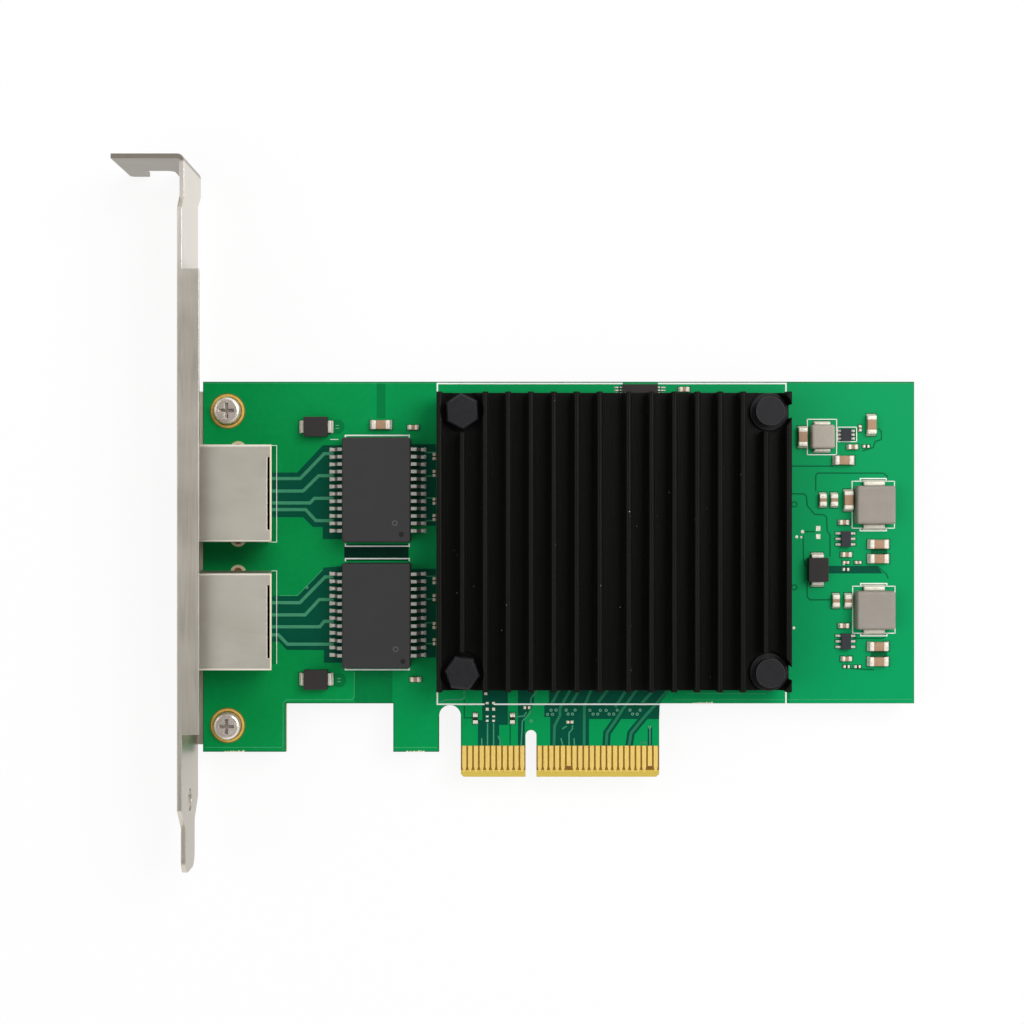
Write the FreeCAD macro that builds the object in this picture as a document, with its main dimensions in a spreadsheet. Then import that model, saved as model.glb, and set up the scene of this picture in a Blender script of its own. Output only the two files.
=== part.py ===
import FreeCAD, Part
import math
import os
import re

import Sketcher

# Dual-port network interface card with a full-height bracket, for a PCI Express x4 slot.
#
# Frame, in millimetres: +X runs along the card away from the bracket, +Y from the edge connector
# to the card's top edge, +Z out of the component side. The origin is on the component face of the
# board, where the centre line of the connector's key notch meets the connector's edge.

Vector = FreeCAD.Vector

ALONG_X = "along x"
ALONG_Y = "along y"

SIZES = (
    # Circuit board
    ("board_thickness", 1.6, "laminate thickness"),
    ("board_left", 56.55, "key notch to the board's left edge"),
    ("board_right", 66.05, "key notch to the board's right edge"),
    ("board_height", 68.15, "connector edge to the board's top edge"),
    ("lower_edge", 12.7, "connector edge to the board's lower edge"),
    ("corner_tab_width", 14.3, "tab under the lower bracket screw"),
    ("corner_tab_bottom", 4.35, "connector edge to the ends of the tab and the hook"),
    ("hook_width", 7.9, "width of the retention hook"),
    ("hook_slot_width", 3.75, "slot between the hook and the connector"),
    ("hook_slot_top", 12.4, "connector edge to the slot's round end"),
    # Edge connector
    ("pin_pitch", 1.0, "contact spacing"),
    ("short_run", 11, "contacts between the key notch and the bracket"),
    ("long_run", 21, "contacts on the far side of the key notch"),
    ("key_to_pin", 1.5, "key notch centre to the nearest contact centres"),
    ("pin_margin", 0.6, "outermost contact centre to the connector's side"),
    ("key_width", 1.9, "key notch width"),
    ("key_depth", 8.1, "key notch depth"),
    ("bevel_height", 1.0, "height of the bevelled edge"),
    ("bevel_depth", 0.35, "how far each bevel cuts into the face"),
    ("tongue_chamfer", 0.5, "cut corners of the connector"),
    ("contact_width", 0.7, "width of a contact"),
    ("contact_top", 5.4, "upper end of the contacts"),
    ("contact_bottom", 1.05, "lower end of the contacts"),
    ("late_contact_bottom", 1.9, "lower end of the late-mating contacts"),
    ("contact_thickness", 0.05, "plating height of a contact"),
    # Bracket
    ("sheet_thickness", 0.8, "bracket sheet"),
    ("bracket_gap", 1.2, "board edge to the bracket's inner face"),
    ("bracket_top", 105.2, "connector edge to the foot's outer face"),
    ("bracket_length", 120.02, "foot's outer face to the tip of the tongue"),
    ("bracket_width", 18.3, "width of the main plate"),
    ("flange_width", 3.6, "front flange, from the plate's outer face"),
    ("flange_bottom", 9.0, "lower end of the front flange"),
    ("flange_top", 85.8, "upper end of the front flange"),
    ("tab_width", 3.4, "narrow part of the rear tab, from the plate's inner face"),
    ("ear_width", 9.4, "screw ears of the rear tab, from the plate's inner face"),
    ("ear_margin", 3.45, "screw centre to the ear's edges"),
    ("bend_radius", 0.4, "inner radius of the bends"),
    ("foot_length", 11.43, "foot, from the plate's outer face"),
    ("foot_far_shift", 3.3, "step of the plate's solder-side edge near the foot"),
    ("foot_near_shift", 2.6, "step of the plate's component-side edge near the foot"),
    ("step_near_start", 95.8, "start of the component-side step"),
    ("step_near_end", 98.1, "end of the component-side step"),
    ("step_far_start", 98.6, "start of the solder-side step"),
    ("step_far_end", 100.8, "end of the solder-side step"),
    ("screw_notch_width", 5.2, "width of the foot's screw notch"),
    ("screw_notch_inset", 2.9, "plate's outer face to the notch"),
    ("screw_notch_depth", 6.2, "depth of the foot's screw notch"),
    ("notch_radius", 1.4, "round corners of the screw notch"),
    ("foot_corner", 1.0, "round corners of the foot"),
    ("tongue_width", 10.19, "width of the lower tongue"),
    ("tongue_rise", 4.0, "plate's solder-side edge to the tongue's"),
    ("taper_start", -3.6, "start of the taper to the tongue"),
    ("taper_end", -7.0, "end of the taper to the tongue"),
    ("tongue_corner", 2.5, "round corners of the tongue"),
    ("tongue_hole_radius", 2.0, "hole above the tongue"),
    ("tongue_hole_place", -2.9, "height of that hole"),
    ("tongue_hole_rise", 9.3, "plate's solder-side edge to the hole's centre"),
    ("window_clearance", 0.25, "gap between a jack and its window"),
    # Bracket screws
    ("bracket_screw_inset", 4.25, "board edge to the bracket screws"),
    ("bracket_screw_low", 8.9, "height of the lower bracket screw"),
    ("bracket_screw_margin", 5.05, "board's top edge to the upper bracket screw"),
    ("screw_radius", 1.45, "shank radius of every screw"),
    ("thread_clearance", 0.05, "gap between a shank and its thread"),
    ("board_hole_clearance", 0.15, "gap between a shank and its board hole"),
    ("pan_head_radius", 2.35, "pan head"),
    ("pan_head_height", 1.7, "pan head"),
    ("pan_head_bevel", 0.6, "round edge of a pan head"),
    ("recess_width", 0.62, "arm of the cross recess"),
    ("recess_length", 2.6, "length across the cross recess"),
    ("recess_depth", 0.95, "depth of the cross recess"),
    ("screw_tip_length", 1.0, "shank past the rear tab"),
    # Jacks
    ("jack_width", 16.25, "shield width"),
    ("jack_height", 13.0, "shield height above the board"),
    ("jack_depth", 15.5, "shield depth along the top"),
    ("jack_protrusion", 0.25, "shield in front of the bracket"),
    ("upper_jack_place", 48.8, "height of the upper jack's centre"),
    ("jack_pitch", 21.33, "distance between the two jacks"),
    ("shield_thickness", 0.25, "shield sheet"),
    ("rear_lean", 1.45, "how far the shield's rear flap leans in"),
    ("rear_slot_width", 0.4, "relief slot above the rear flap"),
    ("rear_slot_length", 12.1, "relief slot above the rear flap"),
    ("rear_slot_inset", 0.3, "relief slot to the shield's rear edge"),
    ("shield_radius", 0.5, "round edges of the shield's top"),
    ("leg_width", 1.5, "shield leg"),
    ("leg_inset", 6.05, "board edge to the legs' centres"),
    ("solder_tail", 1.3, "legs and wires below the board"),
    ("leg_hole_radius", 0.8, "board hole of a shield leg"),
    ("housing_clearance", 0.05, "gap between shield and housing"),
    ("housing_depth", 12.6, "plastic housing, front to rear"),
    ("post_radius", 1.55, "locating posts of the housing"),
    ("post_spacing", 11.43, "distance between the posts"),
    ("post_inset", 8.95, "board edge to the posts' centres"),
    ("post_tail", 0.7, "posts below the board"),
    ("socket_width", 11.9, "plug opening"),
    ("socket_low", 2.6, "board face to the plug opening"),
    ("socket_high", 10.3, "board face to the opening's ceiling"),
    ("socket_depth", 11.4, "depth of the plug opening"),
    ("latch_width", 6.3, "channel for the plug's latch"),
    ("latch_low", 1.3, "board face to the latch channel"),
    ("window_frame", 0.7, "shield's front frame around the openings"),
    ("light_width", 2.6, "link light lens"),
    ("light_height", 1.5, "link light lens"),
    ("light_depth", 4.0, "link light lens"),
    ("light_low", 10.85, "board face to the lenses"),
    ("light_spacing", 12.2, "distance between the two lenses of a jack"),
    ("wire_count", 8, "spring contacts of a jack"),
    ("wire_pitch", 1.02, "spacing of the spring contacts"),
    ("wire_width", 0.45, "spring contact"),
    ("wire_thickness", 0.3, "spring contact"),
    ("wire_roof", 11.1, "board face to the wires in the housing's roof"),
    ("wire_front_inset", 3.4, "housing front to the wires' bend"),
    ("wire_reach", 6.2, "length of the sloping spring ends"),
    ("wire_drop", 3.2, "fall of the sloping spring ends"),
    ("wire_slot_clearance", 0.1, "gap between the wires and their slot"),
    ("wire_hole_radius", 0.35, "board hole of a wire"),
    # Magnetics modules
    ("module_place", -26.4, "centre of both modules"),
    ("upper_module_place", 49.45, "height of the upper module's centre"),
    ("module_pitch", 21.4, "distance between the two modules"),
    ("module_width", 11.6, "module across its leads"),
    ("module_length", 17.85, "module along its leads"),
    ("module_height", 5.7, "module above the board"),
    ("module_standoff", 0.2, "gap under the module"),
    ("module_radius", 0.35, "round edges of the module"),
    ("module_lead_count", 12, "leads on each side"),
    ("module_lead_pitch", 1.27, "lead spacing"),
    ("module_lead_width", 0.7, "lead"),
    ("module_lead_thickness", 0.25, "lead"),
    ("module_lead_rise", 2.2, "height of the lead's shoulder"),
    ("module_lead_shoulder", 1.2, "length of the lead's shoulder"),
    ("module_lead_reach", 2.3, "body to the lead's end"),
    # Controller chip
    ("controller_side", 17.0, "chip substrate"),
    ("ball_height", 0.45, "solder balls"),
    ("ball_radius", 0.3, "solder balls"),
    ("ball_pitch", 1.27, "spacing of the solder balls"),
    ("ball_rows", 12, "solder balls along a side"),
    ("substrate_thickness", 0.9, "chip substrate"),
    ("lid_side", 15.6, "chip lid"),
    ("lid_thickness", 1.3, "chip lid"),
    ("thermal_pad_thickness", 0.4, "thermal pad"),
    # Heatsink
    ("heatsink_x", 13.8, "centre along the card"),
    ("heatsink_y", 40.68, "centre above the connector edge"),
    ("heatsink_length", 59.6, "base along the card"),
    ("heatsink_width", 50.4, "base across the card"),
    ("base_thickness", 3.4, "base plate"),
    ("fin_height", 3.9, "fins above the base plate"),
    ("fin_thickness", 1.0, "fin"),
    ("end_fin_inset", 0.495, "end of the base to the centre of the outermost fin"),
    ("middle_pitch", 4.85, "spacing of the two middle fins"),
    ("fins_per_half", 8, "fins in each half"),
    ("corner_radius", 3.65, "round clearance at a screw"),
    ("corner_sink", 0.6, "clearance below the fins' roots"),
    ("screw_inset_x", 3.875, "half the base's length less half the screws' spacing along the card"),
    ("screw_inset_y", 3.15, "half the base's width less half the screws' spacing across the card"),
    ("screw_shift_x", 0.4, "centre of the screws off the heatsink's, along the card"),
    ("screw_shift_y", -0.06, "centre of the screws off the heatsink's, across the card"),
    ("hex_head_across", 5.3, "hex head across its flats"),
    ("hex_head_height", 3.2, "hex head"),
    ("hex_head_bevel", 0.3, "bevel round the top of a hex head"),
    ("cap_radius", 2.45, "round cap"),
    ("cap_height", 3.2, "round cap with its flange"),
    ("cap_flange_radius", 3.15, "flange under the round cap"),
    ("cap_flange_height", 0.9, "flange under the round cap"),
    ("spacer_radius", 2.8, "spacer under the heatsink"),
    ("nut_across", 5.5, "nut across its flats"),
    ("nut_height", 2.2, "nut"),
    # Support chip
    ("support_x", 18.75, "chip centre"),
    ("support_top", 0.5, "board's top edge to the chip"),
    ("support_length", 12.5, "chip along its leads"),
    ("support_width", 6.1, "chip across its leads"),
    ("support_height", 1.1, "chip above the board"),
    ("support_lead_count", 24, "leads on each side"),
    ("support_pitch", 0.5, "lead spacing"),
    ("fine_lead_width", 0.22, "lead"),
    ("fine_lead_thickness", 0.15, "lead"),
    ("fine_lead_rise", 0.45, "height of the lead's shoulder"),
    ("fine_lead_shoulder", 0.4, "length of the lead's shoulder"),
    ("fine_lead_reach", 1.1, "chip to the lead's end"),
    ("chip_standoff", 0.1, "board to the underside of a chip or diode"),
    # Six-pin chips
    ("six_pin_length", 2.7, "body along its pins"),
    ("six_pin_width", 1.6, "body across its pins"),
    ("six_pin_height", 1.1, "body above the board"),
    ("six_pin_pitch", 0.95, "pin spacing"),
    ("small_chip_length", 2.1, "body along its pins"),
    ("small_chip_width", 1.7, "body across its pins"),
    ("small_chip_pitch", 0.65, "pin spacing"),
    ("small_chip_height", 0.8, "body above the board"),
    ("flat_pin_width", 0.4, "flat pin of a six-pin chip"),
    ("flat_pin_thickness", 0.2, "flat pin of a six-pin chip"),
    ("six_pin_reach", 0.6, "converter chip to its pins' ends"),
    ("small_chip_reach", 0.35, "small chip to its pins' ends"),
    # Inductors
    ("inductor_x", 59.05, "centre of both power inductors"),
    ("upper_inductor_y", 46.9, "upper power inductor"),
    ("inductor_pitch", 18.05, "distance between the power inductors"),
    ("inductor_side", 6.6, "power inductor"),
    ("inductor_height", 3.0, "power inductor"),
    ("inductor_radius", 0.45, "round corners of the inductors"),
    ("strap_width", 3.6, "terminal strap"),
    ("strap_reach", 0.75, "terminal strap past the body"),
    ("strap_thickness", 0.2, "terminal strap"),
    ("strap_rise", 1.0, "height of the terminal strap on the side"),
    ("coil_x", 50.1, "centre of the metal-cased inductor"),
    ("coil_y", 58.62, "centre of the metal-cased inductor"),
    ("coil_side", 4.1, "metal-cased inductor"),
    ("coil_height", 2.1, "metal-cased inductor"),
    ("coil_strap_width", 2.8, "its terminals"),
    ("coil_strap_reach", 0.45, "its terminals past the body"),
    # Diodes
    ("diode_length", 4.05, "diode body"),
    ("diode_width", 3.35, "diode body"),
    ("diode_height", 2.2, "diode body"),
    ("diode_strap_width", 2.1, "diode terminal"),
    ("diode_strap_reach", 0.6, "diode terminal past the body"),
    # Chip capacitors and resistors: length, width, height, terminal
    ("large_length", 3.2, "large capacitor"),
    ("large_width", 1.6, "large capacitor"),
    ("large_height", 1.3, "large capacitor"),
    ("large_terminal", 0.6, "its terminals"),
    ("medium_length", 2.1, "medium capacitor"),
    ("medium_width", 1.25, "medium capacitor"),
    ("medium_height", 1.0, "medium capacitor"),
    ("medium_terminal", 0.6, "its terminals"),
    ("small_length", 1.6, "small capacitor and small resistor"),
    ("small_width", 0.85, "small capacitor and small resistor"),
    ("small_height", 0.8, "small capacitor"),
    ("small_terminal", 0.4, "their terminals"),
    ("tiny_length", 1.0, "tiny capacitor and tiny resistor"),
    ("tiny_width", 0.5, "tiny capacitor and tiny resistor"),
    ("tiny_height", 0.5, "tiny capacitor"),
    ("tiny_terminal", 0.25, "their terminals"),
    ("resistor_height", 0.45, "resistors"),
    ("terminal_step", 0.04, "how far a terminal stands out of its body"),
)


# The board height that the heights of the parts on it are given for.
LAYOUT_HEIGHT = 68.15


def up_board(height):
    """A height on the board, which keeps its share of the board's height."""
    return f"({height} * board_height / {LAYOUT_HEIGHT})"


# Places that several pieces share, as expressions of the sizes.
BOARD_BOTTOM = "(-board_thickness)"
TONGUE_LEFT = "(-(key_to_pin + (short_run - 1) * pin_pitch + pin_margin))"
TONGUE_RIGHT = "(key_to_pin + (long_run - 1) * pin_pitch + pin_margin)"
PLATE_INNER = "(-board_left - bracket_gap)"
PLATE_OUTER = "(-board_left - bracket_gap - sheet_thickness)"
PLATE_LOW = "(-board_thickness - sheet_thickness)"
PLATE_HIGH = "(-board_thickness - sheet_thickness + bracket_width)"
FOOT_LOW = f"({PLATE_LOW} - foot_far_shift)"
FOOT_HIGH = f"({PLATE_HIGH} - foot_near_shift)"
BRACKET_SCREW_X = "(-board_left + bracket_screw_inset)"
JACK_FRONT = f"({PLATE_OUTER} - jack_protrusion)"
JACK_REAR = f"({JACK_FRONT} + jack_depth)"
LEG_X = "(-board_left + leg_inset)"
POST_X = "(-board_left + post_inset)"
HOUSING_FRONT = f"({JACK_FRONT} + shield_thickness + housing_clearance)"
HOUSING_REAR = f"({HOUSING_FRONT} + housing_depth)"
HOUSING_HALF = "(jack_width / 2 - shield_thickness - housing_clearance)"
HOUSING_TOP = "(jack_height - shield_thickness - housing_clearance)"
WIRE_TAIL = f"({HOUSING_REAR} + wire_slot_clearance)"
HEATSINK_BOTTOM = "(ball_height + substrate_thickness + lid_thickness + thermal_pad_thickness)"
FIN_ROOT = f"({HEATSINK_BOTTOM} + base_thickness)"
CORNER_FLOOR = f"({FIN_ROOT} - corner_sink)"
SHANK_HOLE = "(screw_radius + board_hole_clearance)"
FIN_PITCH = "((heatsink_length / 2 - end_fin_inset - middle_pitch / 2) / (fins_per_half - 1))"
BRACKET_SCREW_HIGH = "(board_height - bracket_screw_margin)"
HEATSINK_Y = up_board("heatsink_y")
JACKS = {
    "upper_jack": up_board("upper_jack_place"),
    "lower_jack": up_board("(upper_jack_place - jack_pitch)"),
}
MODULES = {
    "upper_magnetics": up_board("upper_module_place"),
    "lower_magnetics": up_board("(upper_module_place - module_pitch)"),
}
INDUCTORS = {
    "upper": up_board("upper_inductor_y"),
    "lower": up_board("(upper_inductor_y - inductor_pitch)"),
}

# Where the small pieces sit: centre, and the direction of their long side.
LARGE_CAPACITORS = (
    (-25.85, 60.7, ALONG_X),
    (46.75, 58.6, ALONG_Y),
    (58.6, 60.7, ALONG_Y),
    (53.85, 54.6, ALONG_X),
    (54.65, 47.7, ALONG_Y),
    (59.85, 40.15, ALONG_X),
    (59.85, 37.65, ALONG_X),
    (59.8, 22.55, ALONG_X),
    (59.8, 19.95, ALONG_X),
)
MEDIUM_CAPACITORS = (
    (50.25, 47.75, ALONG_Y),
    (52.2, 47.75, ALONG_Y),
    (52.5, 30.4, ALONG_Y),
    (54.6, 30.4, ALONG_Y),
)
SMALL_CAPACITORS = (
    (-20.3, 60.25, ALONG_X),
    (-19.9, 16.85, ALONG_X),
    (26.35, 66.8, ALONG_X),
    (55.4, 56.9, ALONG_X),
    (53.9, 43.9, ALONG_X),
    (54.35, 38.35, ALONG_X),
    (53.9, 26.1, ALONG_X),
    (54.35, 20.4, ALONG_X),
)
TINY_CAPACITORS = (
    (56.7, 60.1, ALONG_Y),
    (54.25, 37.0, ALONG_X),
    (56.35, 37.0, ALONG_X),
    (6.7, 9.5, ALONG_X),
)
SMALL_RESISTORS = (
    (-9.6, 10.1, ALONG_Y),
    (-3.2, 10.1, ALONG_Y),
)
TINY_RESISTORS = (
    (57.75, 57.0, ALONG_X),
    (54.25, 35.8, ALONG_X),
    (54.35, 19.05, ALONG_X),
    (56.25, 19.05, ALONG_X),
    (-0.7, 12.0, ALONG_X),
)
COUPLING_CAPACITOR_HEIGHTS = (55.6, 54.9, 52.7, 52.0, 47.9, 47.2, 45.1, 44.4)
COUPLING_CAPACITOR_X = -16.35
DIODES = (
    (-37.0, 60.35, ALONG_X),
    (-37.0, 16.9, ALONG_X),
    (49.3, 35.75, ALONG_Y),
)
CONVERTER_CHIPS = (
    (54.2, 41.05),
    (54.2, 23.4),
)
SMALL_CHIP = (54.3, 59.0)
HEX_HEAD_TURNS = {"upper": 33.5, "lower": 52.5}

DOC = FreeCAD.newDocument("NetworkCard")
SHEET = DOC.addObject("Spreadsheet::Sheet", "Sizes")
NODES = []

# Every size has an underscore in its name, which tells it from functions and units.
SIZE_NAME = re.compile(r"[a-z]+(?:_[a-z]+)+")


def fill_sheet():
    """Write the sizes into the sheet, each with its alias and a note."""
    for row, (alias, value, note) in enumerate(SIZES, start=1):
        SHEET.set(f"A{row}", note)
        SHEET.set(f"B{row}", str(value))
        SHEET.setAlias(f"B{row}", alias)
    DOC.recompute()


def bound(expression):
    """The expression with each size read from the sheet."""
    return SIZE_NAME.sub(lambda name: "Sizes." + name.group(0), str(expression))


def value_of(expression):
    """The number that an expression of sizes comes to."""
    result = SHEET.evalExpression(bound(expression))
    return float(getattr(result, "Value", result))


def plane_of(body, role):
    """One of the body's own origin planes or axes."""
    return next(item for item in body.Origin.OriginFeatures if item.Role == role)


def new_body(label):
    """A named sub-part built from features."""
    body = DOC.addObject("PartDesign::Body", label)
    body.Label = label
    NODES.append(body)
    return body


def sketch_on(body, role, low, high):
    """An empty sketch parallel to an origin plane, halfway between two levels of its third axis."""
    sketch = body.newObject("Sketcher::SketchObject", "Sketch")
    sketch.AttachmentSupport = [(plane_of(body, role), "")]
    sketch.MapMode = "FlatFace"
    # The normal of the XZ plane points to -Y.
    sign = "-" if role == "XZ_Plane" else ""
    sketch.setExpression("AttachmentOffset.Base.z", bound(f"{sign}(({low}) + ({high})) / 2"))
    return sketch


def place_point(sketch, geometry, point, across, up):
    """Hold one point of the sketch at two expressions."""
    for kind, expression in (("DistanceX", across), ("DistanceY", up)):
        constraint = Sketcher.Constraint(kind, -1, 1, geometry, point, value_of(expression))
        index = sketch.addConstraint(constraint)
        sketch.setExpression(f"Constraints[{index}]", bound(expression))


def polygon(sketch, corners):
    """Closed outline through corners that are pairs of expressions."""
    first = sketch.GeometryCount
    points = [Vector(value_of(across), value_of(up), 0) for across, up in corners]
    for index, start in enumerate(points):
        end = points[(index + 1) % len(points)]
        sketch.addGeometry(Part.LineSegment(start, end), False)
    for index, (across, up) in enumerate(corners):
        following = first + (index + 1) % len(corners)
        sketch.addConstraint(Sketcher.Constraint("Coincident", first + index, 2, following, 1))
        place_point(sketch, first + index, 1, across, up)


def rectangle(sketch, left, bottom, right, top):
    """Rectangle between two corners."""
    polygon(sketch, ((left, bottom), (right, bottom), (right, top), (left, top)))


def circle(sketch, across, up, radius):
    """Circle with a bound centre and radius."""
    centre = Vector(value_of(across), value_of(up), 0)
    index = sketch.addGeometry(Part.Circle(centre, Vector(0, 0, 1), value_of(radius)), False)
    place_point(sketch, index, 3, across, up)
    constraint = sketch.addConstraint(Sketcher.Constraint("Radius", index, value_of(radius)))
    sketch.setExpression(f"Constraints[{constraint}]", bound(radius))


def extrude(body, kind, sketch, low, high):
    """Pad or pocket from one level to another."""
    feature = body.newObject(kind, "Extrusion")
    feature.Profile = sketch
    feature.Midplane = True
    feature.setExpression("Length", bound(f"({high}) - ({low})"))
    return feature


def pad(body, role, low, high, draw, *shape):
    """Material with the drawn outline between two levels."""
    sketch = sketch_on(body, role, low, high)
    draw(sketch, *shape)
    return extrude(body, "PartDesign::Pad", sketch, low, high)


def pocket(body, role, low, high, draw, *shape):
    """Cut with the drawn outline between two levels."""
    sketch = sketch_on(body, role, low, high)
    draw(sketch, *shape)
    return extrude(body, "PartDesign::Pocket", sketch, low, high)


def drill(body, centres, radius, low, high):
    """Round holes along Z at all the centres."""
    sketch = sketch_on(body, "XY_Plane", low, high)
    for across, up in centres:
        circle(sketch, across, up, radius)
    return extrude(body, "PartDesign::Pocket", sketch, low, high)


def row_of(body, original, axis, count, pitch):
    """Repeat a feature along an axis of the body."""
    pattern = body.newObject("PartDesign::LinearPattern", "Row")
    pattern.Originals = [original]
    pattern.Direction = (plane_of(body, axis), [""])
    pattern.Mode = "Spacing"
    pattern.setExpression("Offset", bound(pitch))
    pattern.setExpression("Occurrences", bound(count))
    body.Tip = pattern
    return pattern


def mirrored_row(body, original, axis, count, pitch, mirror_role):
    """Repeat a feature along an axis and mirror the whole row."""
    pattern = body.newObject("PartDesign::LinearPattern", "Row")
    pattern.Direction = (plane_of(body, axis), [""])
    pattern.Mode = "Spacing"
    pattern.setExpression("Offset", bound(pitch))
    pattern.setExpression("Occurrences", bound(count))
    mirror = body.newObject("PartDesign::Mirrored", "OtherSide")
    mirror.MirrorPlane = (plane_of(body, mirror_role), [""])
    both = body.newObject("PartDesign::MultiTransform", "RowAndOtherSide")
    both.Originals = [original]
    both.Transformations = [pattern, mirror]
    body.Tip = both
    return both


def edges_at(shape, **places):
    """Names of the edges whose two ends lie at the given coordinates."""
    names = []
    for index, edge in enumerate(shape.Edges, start=1):
        ends = [vertex.Point for vertex in edge.Vertexes]
        on_line = all(abs(getattr(end, axis) - place) < 1e-4
                      for end in ends for axis, place in places.items())
        if len(ends) == 2 and on_line:
            names.append(f"Edge{index}")
    return names


def round_edges(body, radius, lines):
    """Fillet the edges that lie on lines, each given by two coordinates as expressions."""
    DOC.recompute()
    base = body.Tip
    names = []
    for line in lines:
        places = {axis: value_of(expression) for axis, expression in line.items()}
        names += edges_at(base.Shape, **places)
    fillet = body.newObject("PartDesign::Fillet", "Rounding")
    fillet.Base = (base, names)
    fillet.setExpression("Radius", bound(radius))
    body.Tip = fillet
    return fillet


def move(item, x="0", y="0", z="0"):
    """Bind the place of an object."""
    for axis, expression in zip("xyz", (x, y, z)):
        item.setExpression(f"Placement.Base.{axis}", bound(expression))


def block(centre_x, centre_y, low, size_x, size_y, size_z):
    """Box centred on a point of the plan, standing on a level."""
    box = DOC.addObject("Part::Box", "Block")
    box.setExpression("Length", bound(size_x))
    box.setExpression("Width", bound(size_y))
    box.setExpression("Height", bound(size_z))
    move(box, f"({centre_x}) - ({size_x}) / 2", f"({centre_y}) - ({size_y}) / 2", low)
    return box


def cylinder(centre_x, centre_y, low, radius, height):
    """Upright cylinder."""
    rod = DOC.addObject("Part::Cylinder", "Rod")
    rod.setExpression("Radius", bound(radius))
    rod.setExpression("Height", bound(height))
    move(rod, centre_x, centre_y, low)
    return rod


def hexagon(centre_x, centre_y, low, across, height, turn):
    """Upright hexagonal prism, sized across its flats."""
    prism = DOC.addObject("Part::Prism", "Hexagon")
    prism.Polygon = 6
    prism.setExpression("Circumradius", bound(f"({across}) / sqrt(3)"))
    prism.setExpression("Height", bound(height))
    prism.Placement.Rotation = FreeCAD.Rotation(Vector(0, 0, 1), turn)
    move(prism, centre_x, centre_y, low)
    return prism


def softened(kind, base, amount):
    """The base with the edges of its top face filleted or chamfered."""
    DOC.recompute()
    top = base.Shape.BoundBox.ZMax
    size = value_of(amount)
    feature = DOC.addObject(kind, "SoftTop")
    feature.Base = base
    feature.Edges = [(index, size, size) for index, edge in enumerate(base.Shape.Edges, start=1)
                     if edge.BoundBox.ZMin > top - 1e-4]
    return feature


def joined(*pieces):
    """One solid from overlapping or touching pieces."""
    fuse = DOC.addObject("Part::MultiFuse", "Joined")
    fuse.Shapes = list(pieces)
    fuse.Refine = True
    return fuse


def cut(base, tool):
    """The base without the tool."""
    difference = DOC.addObject("Part::Cut", "Difference")
    difference.Base = base
    difference.Tool = tool
    return difference


def group(label, pieces):
    """A named sub-part of separate, like solids."""
    compound = DOC.addObject("Part::Compound", label)
    compound.Label = label
    compound.Links = list(pieces)
    NODES.append(compound)
    return compound


# Circuit board and edge contacts


def jack_wire_holes(jack_y):
    """Centres of a jack's wire holes, in one row."""
    centres = []
    for index in range(int(value_of("wire_count"))):
        across = f"{jack_y} + ({index} - (wire_count - 1) / 2) * wire_pitch"
        centres.append((f"{WIRE_TAIL} + wire_thickness / 2", across))
    return centres


def heatsink_screw_places(centre_x, centre_y):
    """Centres of the four heatsink screws, by corner, for a heatsink at a centre."""
    places = {}
    for side, sign_x in (("left", "-"), ("right", "+")):
        for level, sign_y in (("lower", "-"), ("upper", "+")):
            across = f"{centre_x} + screw_shift_x {sign_x} (heatsink_length / 2 - screw_inset_x)"
            up = f"{centre_y} + screw_shift_y {sign_y} (heatsink_width / 2 - screw_inset_y)"
            places[level, side] = (across, up)
    return places


def board_outline():
    """Corners of the board, clockwise from its upper left."""
    slot_left = f"({TONGUE_LEFT} - hook_slot_width)"
    hook_left = f"({TONGUE_LEFT} - hook_slot_width - hook_width)"
    return (
        ("-board_left", "board_height"),
        ("board_right", "board_height"),
        ("board_right", "lower_edge"),
        (TONGUE_RIGHT, "lower_edge"),
        (TONGUE_RIGHT, "tongue_chamfer"),
        (f"{TONGUE_RIGHT} - tongue_chamfer", "0"),
        (f"{TONGUE_LEFT} + tongue_chamfer", "0"),
        (TONGUE_LEFT, "tongue_chamfer"),
        (TONGUE_LEFT, "hook_slot_top - hook_slot_width / 2"),
        (slot_left, "hook_slot_top - hook_slot_width / 2"),
        (slot_left, "corner_tab_bottom"),
        (hook_left, "corner_tab_bottom"),
        (hook_left, "lower_edge"),
        ("-board_left + corner_tab_width", "lower_edge"),
        ("-board_left + corner_tab_width", "corner_tab_bottom"),
        ("-board_left", "corner_tab_bottom"),
    )


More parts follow.
